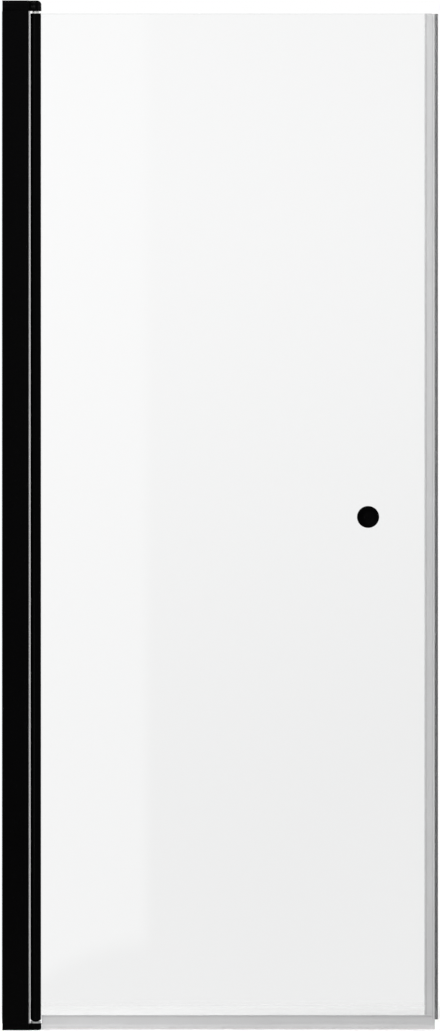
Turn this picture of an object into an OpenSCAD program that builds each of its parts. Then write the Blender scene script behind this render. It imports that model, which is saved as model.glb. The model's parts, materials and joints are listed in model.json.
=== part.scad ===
// Pivot shower door with a rising hinge, a wall channel and clear seals.
// The origin is on the pivot axis at the level of the tray. X runs along the closed door to the
// strike side, the outside of the shower is at -Y, and Z is up.

/* [Overall] */
// Height of the door, from the tray to the top of the upper arm
door_h = 1900; // [1700:1:2100]
// Width of the door, from the wall to the face of the strike seal
door_w = 804.6; // [700:0.1:1000]
// Distance from the wall to the pivot axis
wall_to_pivot = 62; // [60:0.5:70]
// Angle that the door opens to
open_angle = 100; // [60:5:100]
// Height that the door rises while it opens
door_lift = 4; // [2:0.1:5]

/* [Wall channel] */
// Depth of the channel, from the wall to the end of its flanges
channel_depth = 26.5; // [26:0.5:29]
// Thickness of the channel's web, against the wall
channel_web_t = 2; // [1.5:0.1:3]
// Thickness of the channel's flanges
channel_wall = 1.6; // [1.2:0.1:2]
// Number of wall screw holes
wall_hole_count = 4; // [2:1:6]
// Distance from the channel's ends to the first and last wall screw holes
wall_hole_inset = 93.5; // [40:0.5:200]
// Radius of the wall screw holes
wall_hole_r = 2.6; // [2:0.1:3.5]
// Travel of the hinge post on the channel
adjust_travel = 15; // [5:1:15]
// Number of lock screws
lock_count = 3; // [2:1:4]
// Distance from the channel's ends to the first and last lock screws
lock_inset = 233.5; // [120:0.5:400]

/* [Hinge post] */
// Width of the post, front to back
post_w = 36; // [34:0.5:42]
// Thickness of the post's walls
post_wall = 1.7; // [1.4:0.1:2.2]
// Radius of the post's outer edges
post_corner_r = 1.2; // [0.5:0.1:1.5]
// Gap between the hinge post and the stile
hinge_gap = 2.8; // [2.4:0.1:3.5]

/* [Arms] */
// Thickness of the lower arm
bottom_arm_t = 12.7; // [11:0.1:16]
// Thickness of the upper arm with its cover
top_arm_t = 19.3; // [18:0.1:24]
// Thickness of the upper arm's bracket under the cover
top_plate_t = 10; // [9:0.1:11]
// Overhang of the arms past the stile
arm_overhang = 0.8; // [0.4:0.1:2]
// Width of the arms' necks between the post and the pivot
arm_neck_w = 17.6; // [15:0.1:18]
// Radius of the upper arm's corner, seen from the front
top_corner_r = 8; // [4:0.5:9]
// Radius of the lower arm's corner, seen from the front
bottom_corner_r = 4; // [1:0.5:4.5]
// Wall of the upper arm's cover
cover_wall = 1.8; // [1.2:0.1:2.5]
// Length of the arms' tongues inside the post
tongue_l = 16; // [10:1:30]

/* [Pivot] */
// Radius of the top and bottom pins
pin_r = 4; // [3:0.1:4.3]
// Wall of the top bush
bush_wall = 1.9; // [1.2:0.1:2.2]
// Radius of the top pin's head
pin_head_r = 6; // [5:0.1:6.5]
// Length of the bottom pin above the lower arm
bottom_pin_l = 32; // [26:1:38]
// Length of the top pin's hexagonal shank inside the stile
hex_l = 28; // [15:1:30]
// Width of the cam rings, between the bore and the outside
cam_ring_w = 2.3; // [1.8:0.1:2.5]
// Thickness of the lift cam's flange
cam_flange_t = 2.4; // [1.5:0.1:4]
// Angle that each tooth of the cam follower spans
tooth_angle = 60; // [30:5:70]

/* [Door stile] */
// Width of the stile
stile_w = 19.6; // [19:0.1:22]
// Radius of the stile's edges beside the glass
stile_corner_r = 2; // [1:0.1:2.2]
// Depth of the stile's end plugs
plug_l = 33.5; // [33:0.5:40]
// Thickness of the top plug's flange
top_flange_t = 3; // [2.4:0.1:5]
// Height of the bottom plug's crowned flange
bottom_flange_t = 7.6; // [7:0.1:10]
// Radius of the crown under the bottom plug, seen from the front
crown_r = 12.5; // [12:0.5:30]

/* [Glass] */
// Thickness of the glass
glass_t = 6; // [5:0.5:8]
// Height of the glass's lower edge above the tray
glass_bottom = 20; // [17:0.5:30]
// Distance from the strike face back to the glass edge
strike_to_glass = 11.6; // [10:0.1:14]
// Depth of the glass inside the stile
glass_grip = 15.8; // [14:0.1:16]
// Thickness of the glazing gasket on each face of the glass
gasket_t = 0.8; // [0.5:0.1:1.2]
// Width of the ground arris along the glass edges
arris = 0.6; // [0.3:0.1:1]

/* [Knob] */
// Diameter of the knobs
knob_d = 40.4; // [36:0.1:50]
// Height of the knobs' axis above the tray
knob_z = 947; // [800:1:1100]
// Distance from the strike face back to the knobs' axis
strike_to_knob = 129.1; // [80:0.1:200]
// Projection of each knob from its washer
knob_depth = 34; // [32:1:45]
// Thickness of the knobs' heads
knob_head_t = 14; // [10:1:16]
// Radius of the knobs' necks at the waist
knob_neck_r = 8.5; // [7.5:0.1:9.5]
// Radius of the knobs' bases
knob_base_r = 11; // [10.5:0.1:13]
// Radius of the knob stud
stud_r = 3; // [2.5:0.1:3.5]
// Radius of the hole in the glass for the stud
glass_hole_r = 6; // [5:0.1:8]

/* [Seals] */
// Thickness of the seals' legs and walls
seal_t = 1; // [0.8:0.1:1.4]
// Height of the sweep's legs on the glass
sweep_leg = 7.8; // [6:0.1:12]
// Gap between the sweep's lip and the tray
sweep_clear = 1.5; // [0.5:0.1:3]
// Height of the sweep's soft lip
lip_h = 4; // [2:0.1:5]
// Reach of the sweep's deflector towards the inside
deflector_w = 7; // [4:0.5:9]
// Length of the strike seal's legs on the glass
strike_leg = 13.5; // [8:0.1:18]
// Depth of the magnet pocket
magnet_d = 6.1; // [5:0.1:6.5]
// Distance that the magnet pocket stands out past the strike seal's legs
pocket_rim = 0.3; // [0:0.1:1]

/* [Hidden] */
$fn = 48;
// Clearances between pieces
fit_gap = 0.05;
run_gap = 0.06;
slide_gap = 0.3;
cam_gap = 0.2;
clear = 0.5;
// Overlap that lets a cut pass through a face
cut = 1;

// Wall side
wall_x = -wall_to_pivot;
strike_x = door_w - wall_to_pivot;
stile_r = stile_w / 2;
arm_r = stile_r + arm_overhang;
post_left = wall_x + clear;
post_right = -(stile_r + hinge_gap);
post_half = post_w / 2;
post_inner = post_half - post_wall;
top_arm_z = door_h - top_arm_t;
mid_z = (bottom_arm_t + top_arm_z) / 2;
channel_l = top_arm_z - bottom_arm_t - 2 * clear;
channel_end = wall_x + channel_depth;
channel_half = post_inner - slide_gap;
pocket_play = 1.5;
chamber_x0 = channel_end + pocket_play + post_wall;
chamber_x1 = post_right - post_wall;

// Lock screws of the width adjustment
lock_r = 2;
lock_head_r = 3.6;
lock_head_h = 2.2;
lock_edge = 6;
lock_x = post_left + lock_edge;
nut_h = 3.2;
nut_r = 4;
nut_y = channel_half - channel_wall - slide_gap;
cap_wall = 1.3;

// Groove and bulb of the hinge gasket
groove_lip = 1.2;
groove_d = 1.9;
groove_w = 4.8;
groove_mouth_w = 1.8;
groove_back = 1.6;
boss_w = 8;
boss_x = post_right - groove_lip - groove_d - groove_back;
bulb_gap = 0.45;
bulb_r = (hinge_gap - bulb_gap - fit_gap) / 2;
bulb_wall = 0.55;

// Screws of the arms
arm_screw_r = 2.05;
arm_screw_l = 24;
arm_head_r = 3.9;
arm_head_h = 3.4;
head_sink = 0.8;
arm_sink = arm_head_h + head_sink;
port_r = arm_screw_r + fit_gap;
port_wall = 2;
port_x = (chamber_x0 + chamber_x1) / 2;
port_y = post_inner - port_r - port_wall;
arm_screw_spots = [for (s = [-1, 1]) [port_x, s * port_y]];

// Cover of the upper arm
peg_r = 2;
peg_l = 6;
peg_x = (post_left + chamber_x0) / 2;
peg_y = post_half / 2;

// Pivot at the top
bush_r = pin_r + run_gap + bush_wall;
bush_rim = 2.2;
bush_flange_r = bush_r + bush_rim;
bush_flange_t = 1.5;
plate_top = top_arm_z + top_plate_t;
head_play = 0.1;
pin_head_t = 2;
hex_r = pin_r - fit_gap;
lift_gap = 0.4;
stile_top = top_arm_z - door_lift - lift_gap;
bush_z = stile_top + slide_gap;
bush_seat = stile_top - door_lift;
hex_end = stile_top - hex_l;
socket_end = hex_end - door_lift - clear;

// Lift cam and its follower
cam_r = pin_r + run_gap + cam_ring_w;
flange_r = stile_r - slide_gap;
flange_top = bottom_arm_t + cam_flange_t;
ramp_foot = 0.5;
ramp_z = flange_top + ramp_foot;
rise = door_lift / open_angle;
ramp_angle = open_angle + tooth_angle;
ramp_h = rise * ramp_angle;
side_gap = 2;
cam_step = 5;
ramp_lap = 1;
// The saddle around the cam follows the crown of the stile, and is no higher than the rise over this angle
saddle_turn = 70;
saddle_h = min(rise * saddle_turn, crown_r - sqrt(crown_r * crown_r - flange_r * flange_r));
saddle_r = (flange_r * flange_r + saddle_h * saddle_h) / (2 * saddle_h);
follower_rim = 0.2;
follower_r = cam_r + follower_rim;
follower_z = ramp_z + ramp_h + lift_gap;
follower_l = 12;
follower_top = follower_z + follower_l;
key_w = 2;
key_h = 6;
key_reach = 0.8;
cam_peg_r = 1.4;
cam_peg_l = 3;
cam_peg_x = 7;
bottom_pin_top = bottom_arm_t + bottom_pin_l;
pin_foot_z = 1.5;

// Stile and its plugs
plug_flange_z = flange_top + slide_gap;
stile_z0 = plug_flange_z + bottom_flange_t;
stile_z1 = stile_top - top_flange_t;
end_wall = 1.6;
bore_r = stile_r - end_wall;
plug_r = bore_r - fit_gap;
bore_l = plug_l + clear;
cavity_r = follower_r + fit_gap;
skirt_gap = 0.4;
skirt_r = cam_r + skirt_gap;
port_in = 2.4;
stile_port = stile_r - port_in;
plug_screw_r = 1.05;
plug_screw_l = 12;
plug_head_r = 2.1;
plug_head_h = 1.6;
plug_screw_spots = [for (s = [-1, 1]) [stile_port, s * stile_port]];
plug_seat_t = 1.8;
bottom_seat = stile_z0 - plug_seat_t;
top_seat = stile_top - plug_head_h - 2 * fit_gap;
side_chamber_w = 8.2;
side_chamber_wall = 1.5;

// Glass
glass_half = glass_t / 2;
glass_x0 = stile_r - glass_grip;
glass_x1 = strike_x - strike_to_glass;
glass_top = stile_top - slide_gap;
slot_half = glass_half + gasket_t;
slot_x0 = glass_x0 - gasket_t - 2 * fit_gap;
notch_gap = 1;
notch_x = bore_r;
notch_z0 = stile_z0 + bore_l + notch_gap;
notch_z1 = stile_z1 - bore_l - notch_gap;

// Knobs
knob_x = strike_x - strike_to_knob;
knob_r = knob_d / 2;
knob_base_t = 3;
knob_edge_r = 1.5;
washer_t = 1;
washer_inset = 1;
washer_r = knob_base_r - washer_inset;
knob_y = glass_half + washer_t;
stud_reach = 16;
grub_r = 2;
waist_h = (knob_base_t + knob_depth - knob_head_t) / 2;
waist_l = waist_h - knob_base_t / 2;
waist_sag = knob_base_r - knob_neck_r;
waist_r = (waist_l * waist_l + waist_sag * waist_sag) / (2 * waist_sag);

// Seals
web_gap = 0.2;
sweep_web_t = 1.5;
strike_web_t = 1.2;
seal_inset = 0.4;
leg_y0 = glass_half + 2 * fit_gap;
leg_y1 = leg_y0 + seal_t;
sweep_x0 = arm_r + seal_inset;
sweep_top = glass_bottom + sweep_leg;
web_top = glass_bottom - web_gap;
web_bottom = web_top - sweep_web_t;
strike_z0 = glass_bottom - clear;
sweep_end_z = strike_z0 - slide_gap;
pocket_x0 = strike_x - magnet_d;
pocket_half = leg_y1 + pocket_rim;
pocket_wall = 0.5;
seal_top = glass_top - seal_inset;
sweep_lap = 0.4;
sweep_x1 = pocket_x0 + sweep_lap;

// Rectangle and box between two opposite corners
module rect(a, b) { translate(a) square(b - a); }
module block(a, b) { translate(a) cube(b - a); }

// Rectangle with rounded corners
module soft_rect(a, b, r) {
    rect([a.x + r, a.y], [b.x - r, b.y]);
    rect([a.x, a.y + r], [b.x, b.y - r]);
    for (x = [a.x + r, b.x - r], y = [a.y + r, b.y - r])
        translate([x, y]) circle(r = r);
}

// Upright round bar, and one that lies along Y
module rod(r, z0, z1) { translate([0, 0, z0]) cylinder(h = z1 - z0, r = r); }
module rod_y(r, y0, y1) { translate([0, y0, 0]) rotate([-90, 0, 0]) cylinder(h = y1 - y0, r = r); }

// Heights of an even row of places along the channel, with the first and last one inset from its ends
function row_z(count, inset) =
    [for (i = [0 : count - 1]) mid_z + (i / (count - 1) - 0.5) * (channel_l - 2 * inset)];

// Screw with a round head and a hexagonal socket: the head's seat is at z = 0, the shank below it
module socket_screw(r, l, head_r, head_h) {
    tip = r / 2;
    difference() {
        union() {
            cylinder(h = head_h, r = head_r);
            translate([0, 0, tip - l]) cylinder(h = l - tip, r = r);
            translate([0, 0, -l]) cylinder(h = tip, r1 = r / 2, r2 = r);
        }
        translate([0, 0, head_h / 3]) cylinder(h = head_h, r = head_r / 2, $fn = 6);
    }
}

// Sector of a ring whose lower and upper faces climb evenly, clockwise from angle a0 to a1
module climbing_sector(a0, a1, r0, r1, low0, low1, high0, high1) {
    n = ceil((a1 - a0) / cam_step);
    points = [for (i = [0 : n]) let (t = 1 - i / n, a = -a0 - (a1 - a0) * t,
              low = low0 + (low1 - low0) * t, high = high0 + (high1 - high0) * t)
              each [[r0 * cos(a), r0 * sin(a), low], [r1 * cos(a), r1 * sin(a), low],
                    [r1 * cos(a), r1 * sin(a), high], [r0 * cos(a), r0 * sin(a), high]]];
    sides = [for (i = [0 : n - 1]) let (p = 4 * i, q = p + 4)
             each [[p, p + 1, q + 1], [p, q + 1, q], [p + 1, p + 2, q + 2], [p + 1, q + 2, q + 1],
                   [p + 3, q + 3, q + 2], [p + 3, q + 2, p + 2], [p, q, q + 3], [p, q + 3, p + 3]]];
    e = 4 * n;
    ends = [[0, 3, 2], [0, 2, 1], [e, e + 1, e + 2], [e, e + 2, e + 3]];
    polyhedron(points = points, faces = concat(sides, ends), convexity = 4);
}

// Outline of the arms from above: post, neck and round end
module arm_outline(inset = 0) {
    soft_rect([post_left + inset, inset - post_half], [post_right - inset, post_half - inset],
              post_corner_r);
    rect([post_right - post_wall - inset, inset - arm_neck_w / 2], [0, arm_neck_w / 2 - inset]);
    circle(r = arm_r - inset);
}

// Front silhouette of an arm, pushed through front to back: its free end is square at height flat_z
// and has a round corner at height round_z
module arm_front(x1, flat_z, round_z, corner_r) {
    corner_z = round_z + sign(flat_z - round_z) * corner_r;
    rotate([90, 0, 0]) linear_extrude(height = post_w + 2 * cut, center = true) {
        rect([post_left - cut, min(flat_z, round_z)], [x1 - corner_r, max(flat_z, round_z)]);
        rect([post_left - cut, min(flat_z, corner_z)], [x1, max(flat_z, corner_z)]);
        translate([x1 - corner_r, corner_z]) circle(r = corner_r);
    }
}

// Tongue that locates an arm inside the post
module arm_tongue(z0, z1) {
    block([chamber_x0 + slide_gap, port_wall + port_r + clear - port_y, z0],
          [boss_x - clear, port_y - port_r - port_wall - clear, z1]);
}

module wall_channel() {
    slot_r = lock_r + slide_gap;
    color("#202124") difference() {
        block([wall_x, -channel_half, bottom_arm_t + clear],
              [channel_end, channel_half, top_arm_z - clear]);
        block([wall_x + channel_web_t, channel_wall - channel_half, 0],
              [channel_end + cut, channel_half - channel_wall, door_h]);
        for (z = row_z(wall_hole_count, wall_hole_inset))
            translate([wall_x - cut, 0, z]) rotate([0, 90, 0])
                cylinder(h = channel_web_t + 2 * cut, r = wall_hole_r);
        for (z = row_z(lock_count, lock_inset)) {
            for (x = [lock_x, lock_x + adjust_travel])
                translate([x, 0, z]) rod_y(slot_r, channel_half - channel_wall - cut, channel_half + cut);
            block([lock_x, channel_half - channel_wall - cut, z - slot_r],
                  [lock_x + adjust_travel, channel_half + cut, z + slot_r]);
        }
    }
}

module post_profile() {
    difference() {
        union() {
            difference() {
                soft_rect([post_left, -post_half], [post_right, post_half], post_corner_r);
                rect([post_left - cut, -post_inner], [chamber_x0 - post_wall, post_inner]);
                rect([chamber_x0, -post_inner], [chamber_x1, post_inner]);
            }
            rect([boss_x, -boss_w / 2], [post_right - post_wall / 2, boss_w / 2]);
            for (p = arm_screw_spots) translate(p) circle(r = port_r + port_wall + fit_gap);
        }
        for (p = arm_screw_spots) translate(p) circle(r = port_r);
        rect([post_right - groove_lip, -groove_mouth_w / 2], [post_right + cut, groove_mouth_w / 2]);
        rect([post_right - groove_lip - groove_d, -groove_w / 2], [post_right - groove_lip, groove_w / 2]);
    }
}

module hinge_post() {
    color("#141416") difference() {
        translate([0, 0, bottom_arm_t]) linear_extrude(height = top_arm_z - bottom_arm_t) post_profile();
        for (z = row_z(lock_count, lock_inset))
            translate([lock_x, 0, z]) rod_y(lock_r + fit_gap, post_inner - cut, post_half + cut);
    }
}

module hinge_gasket() {
    bulb_x = post_right + bulb_r + fit_gap;
    foot_gap = 2 * fit_gap;
    color("#b9bcc0") translate([0, 0, bottom_arm_t + clear])
        linear_extrude(height = top_arm_z - bottom_arm_t - 2 * clear) difference() {
            union() {
                rect([post_right - groove_lip - groove_d + foot_gap, foot_gap - groove_w / 2],
                     [post_right - groove_lip - foot_gap, groove_w / 2 - foot_gap]);
                rect([post_right - groove_lip - 2 * foot_gap, foot_gap - groove_mouth_w / 2],
                     [bulb_x - bulb_r / 2, groove_mouth_w / 2 - foot_gap]);
                translate([bulb_x, 0]) circle(r = bulb_r);
            }
            translate([bulb_x, 0]) circle(r = bulb_r - bulb_wall);
        }
}

module lock_screws() {
    color("#b8bbbf") for (z = row_z(lock_count, lock_inset))
        translate([lock_x, post_half, z]) rotate([-90, 0, 0])
            socket_screw(lock_r, post_half - nut_y + nut_h + clear, lock_head_r, lock_head_h);
}

module lock_nuts() {
    color("#b8bbbf") for (z = row_z(lock_count, lock_inset)) translate([lock_x, nut_y - nut_h, z])
        rotate([-90, 0, 0]) difference() {
            rotate([0, 0, 30]) cylinder(h = nut_h, r = nut_r, $fn = 6);
            translate([0, 0, -cut]) cylinder(h = nut_h + 2 * cut, r = lock_r + fit_gap);
        }
}

module screw_caps() {
    cap_r = lock_head_r + slide_gap;
    color("#141416") for (z = row_z(lock_count, lock_inset))
        translate([lock_x, post_half, z]) rotate([-90, 0, 0]) difference() {
            union() {
                cylinder(h = lock_head_h + cap_wall / 2, r = cap_r + cap_wall);
                translate([0, 0, lock_head_h + cap_wall / 2])
                    cylinder(h = cap_wall / 2 + slide_gap, r1 = cap_r + cap_wall, r2 = cap_r);
            }
            translate([0, 0, -cut]) cylinder(h = lock_head_h + slide_gap + cut, r = cap_r);
        }
}

module top_bracket() {
    color("#141416") difference() {
        union() {
            translate([0, 0, top_arm_z]) linear_extrude(height = top_plate_t) arm_outline();
            arm_tongue(top_arm_z - tongue_l, top_arm_z);
        }
        rod(bush_r + fit_gap, top_arm_z - cut, plate_top + cut);
        rod(bush_flange_r + fit_gap, plate_top - bush_flange_t, plate_top + cut);
        for (p = arm_screw_spots) translate(p) {
            rod(arm_screw_r + fit_gap, top_arm_z - cut, plate_top);
            rod(arm_head_r + slide_gap, plate_top - arm_sink, plate_top + cut);
        }
        for (s = [-1, 1]) translate([peg_x, s * peg_y, 0])
            rod(peg_r + fit_gap, plate_top - peg_l - slide_gap, plate_top + cut);
    }
}

module top_cover() {
    color("#141416") {
        difference() {
            intersection() {
                translate([0, 0, plate_top]) linear_extrude(height = door_h - plate_top) arm_outline();
                arm_front(arm_r, plate_top - cut, door_h, top_corner_r);
            }
            intersection() {
                translate([0, 0, plate_top - cut])
                    linear_extrude(height = door_h - plate_top) arm_outline(cover_wall);
                arm_front(arm_r - cover_wall, plate_top - 2 * cut, door_h - cover_wall,
                          top_corner_r - cover_wall);
            }
        }
        for (s = [-1, 1]) translate([peg_x, s * peg_y, 0])
            rod(peg_r, plate_top - peg_l, door_h - cover_wall / 2);
    }
}

module bottom_bracket() {
    color("#141416") difference() {
        union() {
            intersection() {
                linear_extrude(height = bottom_arm_t) arm_outline();
                arm_front(arm_r, bottom_arm_t + cut, 0, bottom_corner_r);
            }
            arm_tongue(bottom_arm_t, bottom_arm_t + tongue_l);
        }
        rod(pin_r + fit_gap / 2, pin_foot_z, bottom_arm_t + cut);
        for (p = arm_screw_spots) translate(p) {
            rod(arm_screw_r + fit_gap, 0, bottom_arm_t + cut);
            rod(arm_head_r + slide_gap, -cut, arm_sink);
        }
        for (s = [-1, 1]) translate([0, s * cam_peg_x, 0])
            rod(cam_peg_r + fit_gap, bottom_arm_t - cam_peg_l - slide_gap, bottom_arm_t + cut);
    }
}

module arm_screws() {
    color("#b8bbbf") for (p = arm_screw_spots) translate(p) {
        translate([0, 0, plate_top - arm_sink])
            socket_screw(arm_screw_r, top_plate_t - arm_sink + arm_screw_l, arm_head_r, arm_head_h);
        translate([0, 0, arm_sink]) mirror([0, 0, 1])
            socket_screw(arm_screw_r, bottom_arm_t - arm_sink + arm_screw_l, arm_head_r, arm_head_h);
    }
}

module top_bush() {
    color("#d9dbdc") difference() {
        union() {
            rod(bush_r, bush_z, plate_top - bush_flange_t / 2);
            rod(bush_flange_r, plate_top - bush_flange_t, plate_top);
        }
        rod(pin_r + run_gap, bush_z - cut, plate_top + cut);
    }
}

module top_pin() {
    head_z = plate_top + head_play;
    slot_w = 1.2;
    color("#c9ccd0") difference() {
        union() {
            rod(pin_r, top_arm_z, head_z + pin_head_t / 2);
            rod(pin_head_r, head_z, head_z + pin_head_t);
            translate([0, 0, hex_end]) cylinder(h = top_arm_z - hex_end + cut, r = hex_r, $fn = 6);
        }
        block([-pin_head_r - cut, -slot_w / 2, head_z + pin_head_t / 2],
              [pin_head_r + cut, slot_w / 2, head_z + pin_head_t + cut]);
    }
}

module bottom_pin() {
    tip = 1;
    color("#c9ccd0") {
        rod(pin_r, pin_foot_z, bottom_pin_top - tip);
        translate([0, 0, bottom_pin_top - tip]) cylinder(h = tip, r1 = pin_r, r2 = pin_r - tip);
    }
}

// Ring of two ramps on a flange: each ramp climbs clockwise to a level stretch and then drops. Around
// the ring the flange is hollowed like a saddle, for the crown of the stile
module lift_cam() {
    color("#c4c6c8") difference() {
        union() {
            difference() {
                rod(flange_r, bottom_arm_t, flange_top + saddle_h);
                translate([0, 0, flange_top + saddle_r]) rod_y(saddle_r, -stile_w, stile_w);
                rod(skirt_r, flange_top, flange_top + saddle_h + cut);
            }
            intersection() {
                union() {
                    rod(cam_r, flange_top - slide_gap, ramp_z);
                    for (a = [0, 180]) {
                        climbing_sector(a, a + ramp_angle, pin_r / 2, cam_r + cut,
                                        flange_top - slide_gap, flange_top - slide_gap,
                                        ramp_z, ramp_z + ramp_h);
                        climbing_sector(a + ramp_angle - ramp_lap, a + 180 + ramp_lap / 2, pin_r / 2,
                                        cam_r + cut, flange_top - slide_gap, flange_top - slide_gap,
                                        ramp_z + ramp_h, ramp_z + ramp_h);
                    }
                }
                rod(cam_r, flange_top - cut, follower_z);
            }
            for (s = [-1, 1]) translate([0, s * cam_peg_x, 0])
                rod(cam_peg_r, bottom_arm_t - cam_peg_l, flange_top - cam_flange_t / 2);
        }
        rod(pin_r + run_gap, bottom_arm_t - cut, follower_z);
    }
}

// Sleeve on the bottom pin whose two teeth stand on the ramps of the lift cam
module cam_follower() {
    color("#e4e5e6") difference() {
        union() {
            rod(follower_r, follower_z, follower_top);
            intersection() {
                for (a = [0, 180])
                    climbing_sector(a + side_gap, a + tooth_angle, pin_r / 2, cam_r + cut,
                                    ramp_z + rise * side_gap + cam_gap,
                                    ramp_z + rise * tooth_angle + cam_gap,
                                    follower_z + cut, follower_z + cut);
                rod(cam_r, flange_top, follower_z + cut);
            }
            for (s = [-1, 1])
                block([-key_w / 2, min(s * (follower_r + key_reach), s * pin_r), follower_top - key_h],
                      [key_w / 2, max(s * (follower_r + key_reach), s * pin_r), follower_top]);
        }
        rod(pin_r + run_gap, flange_top, follower_top + cut);
    }
}

module stile_outline() {
    circle(r = stile_r);
    rect([0, -stile_r], [stile_r - stile_corner_r, stile_r]);
    rect([0, stile_corner_r - stile_r], [stile_r, stile_r - stile_corner_r]);
    for (s = [-1, 1])
        translate([stile_r - stile_corner_r, s * (stile_r - stile_corner_r)]) circle(r = stile_corner_r);
}

module door_stile() {
    chamber_y0 = slot_half + side_chamber_wall;
    chamber_y1 = stile_r - 2 * fit_gap - side_chamber_wall - slide_gap;
    color("#141416") difference() {
        translate([0, 0, stile_z0]) linear_extrude(height = stile_z1 - stile_z0) difference() {
            stile_outline();
            rect([slot_x0, -slot_half], [stile_r + cut, slot_half]);
            for (p = plug_screw_spots) translate(p) circle(r = plug_screw_r + fit_gap);
            for (s = [-1, 1])
                rect([-side_chamber_w / 2, min(s * chamber_y0, s * chamber_y1)],
                     [side_chamber_w / 2, max(s * chamber_y0, s * chamber_y1)]);
        }
        rod(bore_r, stile_z0 - cut, stile_z0 + bore_l);
        rod(bore_r, stile_z1 - bore_l, stile_z1 + cut);
    }
}

// Room for the edge of the glass in an end plug
module plug_notch(z0, z1) {
    block([notch_x - slide_gap, -glass_half - slide_gap, z0], [stile_r + cut, glass_half + slide_gap, z1]);
}

module top_plug() {
    color("#141416") difference() {
        union() {
            translate([0, 0, stile_z1]) linear_extrude(height = top_flange_t) stile_outline();
            rod(plug_r, stile_z1 - plug_l, stile_z1 + top_flange_t / 2);
        }
        translate([0, 0, socket_end])
            cylinder(h = stile_top - socket_end + cut, r = hex_r + 2 * fit_gap, $fn = 6);
        rod(bush_r + slide_gap, bush_seat, stile_top + cut);
        plug_notch(stile_z1 - plug_l - cut, stile_top + cut);
        for (p = plug_screw_spots) translate(p) {
            rod(plug_screw_r + fit_gap, stile_z1 - cut, stile_top);
            rod(plug_head_r + 2 * fit_gap, top_seat, stile_top + cut);
        }
    }
}

module bottom_plug() {
    color("#141416") difference() {
        union() {
            intersection() {
                translate([0, 0, plug_flange_z]) linear_extrude(height = bottom_flange_t) stile_outline();
                translate([0, 0, plug_flange_z + crown_r]) rod_y(crown_r, -stile_w, stile_w);
            }
            rod(plug_r, stile_z0 - cut, stile_z0 + plug_l);
        }
        rod(skirt_r, plug_flange_z - cut, follower_z);
        rod(cavity_r, plug_flange_z, follower_top + fit_gap);
        rod(pin_r + 2 * fit_gap, plug_flange_z, bottom_pin_top + clear + fit_gap);
        block([-key_w / 2 - fit_gap, -cavity_r - key_reach, follower_top - key_h - clear],
              [key_w / 2 + fit_gap, cavity_r + key_reach, follower_top + fit_gap]);
        plug_notch(glass_bottom - slide_gap, stile_z0 + plug_l + cut);
        for (p = plug_screw_spots) translate(p) {
            rod(plug_screw_r + fit_gap, plug_flange_z, stile_z0 + cut);
            rod(plug_head_r + 2 * fit_gap, plug_flange_z - cut, bottom_seat);
        }
    }
}

module plug_screws() {
    color("#b8bbbf") for (p = plug_screw_spots) translate(p) {
        translate([0, 0, top_seat]) socket_screw(plug_screw_r, plug_screw_l, plug_head_r, plug_head_h);
        translate([0, 0, bottom_seat]) mirror([0, 0, 1])
            socket_screw(plug_screw_r, plug_screw_l, plug_head_r, plug_head_h);
    }
}

module glass_panel() {
    side = arris * sqrt(2);
    color("#cfe0e0", 0.35) difference() {
        block([glass_x0, -glass_half, glass_bottom], [glass_x1, glass_half, glass_top]);
        block([glass_x0 - cut, -glass_t, glass_bottom - cut], [notch_x, glass_t, notch_z0]);
        block([glass_x0 - cut, -glass_t, notch_z1], [notch_x, glass_t, glass_top + cut]);
        translate([knob_x, 0, knob_z]) rod_y(glass_hole_r, -glass_t, glass_t);
        for (s = [-1, 1]) {
            for (z = [glass_bottom, glass_top]) translate([glass_x0 - cut, s * glass_half, z])
                rotate([45, 0, 0]) translate([0, -side / 2, -side / 2])
                    cube([glass_x1 - glass_x0 + 2 * cut, side, side]);
            translate([glass_x1, s * glass_half, glass_bottom - cut]) rotate([0, 0, 45])
                translate([-side / 2, -side / 2, 0]) cube([side, side, glass_top - glass_bottom + 2 * cut]);
        }
    }
}

// Channel around the edge of the glass, whose lips also close the slot beside the end plugs
module glazing_gasket() {
    inner = glass_half + fit_gap;
    outer = slot_half - fit_gap;
    mouth = stile_r - slide_gap;
    color("#2a2b2d") {
        translate([0, 0, notch_z0 + clear])
            linear_extrude(height = notch_z1 - notch_z0 - 2 * clear) difference() {
                rect([slot_x0 + fit_gap, -outer], [mouth, outer]);
                rect([glass_x0 - fit_gap, -inner], [mouth + cut, inner]);
            }
        for (s = [-1, 1])
            block([notch_x, min(s * inner, s * outer), stile_z0 + fit_gap],
                  [mouth, max(s * inner, s * outer), stile_z1 - fit_gap]);
    }
}

module setting_block() {
    inset = 1;
    color("#3a3a3c")
        block([glass_x0 + inset, -glass_half, stile_z0 + plug_l],
              [notch_x - inset, glass_half, notch_z0]);
}

// Profile of a knob: radius along X, distance from the washer along Y
module knob_profile() {
    head = knob_depth - knob_head_t;
    edge = knob_r - knob_edge_r;
    rect([0, 0], [knob_base_r, knob_base_t]);
    difference() {
        rect([0, knob_base_t / 2], [knob_base_r, head + knob_edge_r]);
        translate([knob_neck_r + waist_r, waist_h]) circle(r = waist_r);
    }
    rect([0, head], [edge, knob_depth]);
    rect([0, head + knob_edge_r], [knob_r, knob_depth - knob_edge_r]);
    for (h = [head + knob_edge_r, knob_depth - knob_edge_r]) translate([edge, h]) circle(r = knob_edge_r);
}

// Knob on the side of the glass given by s, with its blind hole for the stud
module knob(s) {
    translate([knob_x, s * knob_y, knob_z]) rotate([-90 * s, 0, 0]) difference() {
        rotate_extrude() knob_profile();
        translate([0, 0, -cut]) cylinder(h = stud_reach + cut + clear, r = stud_r + fit_gap);
    }
}

module knob_outer() { color("#161617") knob(-1); }

module knob_inner() {
    color("#161617") difference() {
        knob(1);
        translate([knob_x, knob_y + waist_h, knob_z - knob_base_r])
            cylinder(h = knob_base_r, r = grub_r + fit_gap);
    }
}

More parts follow.
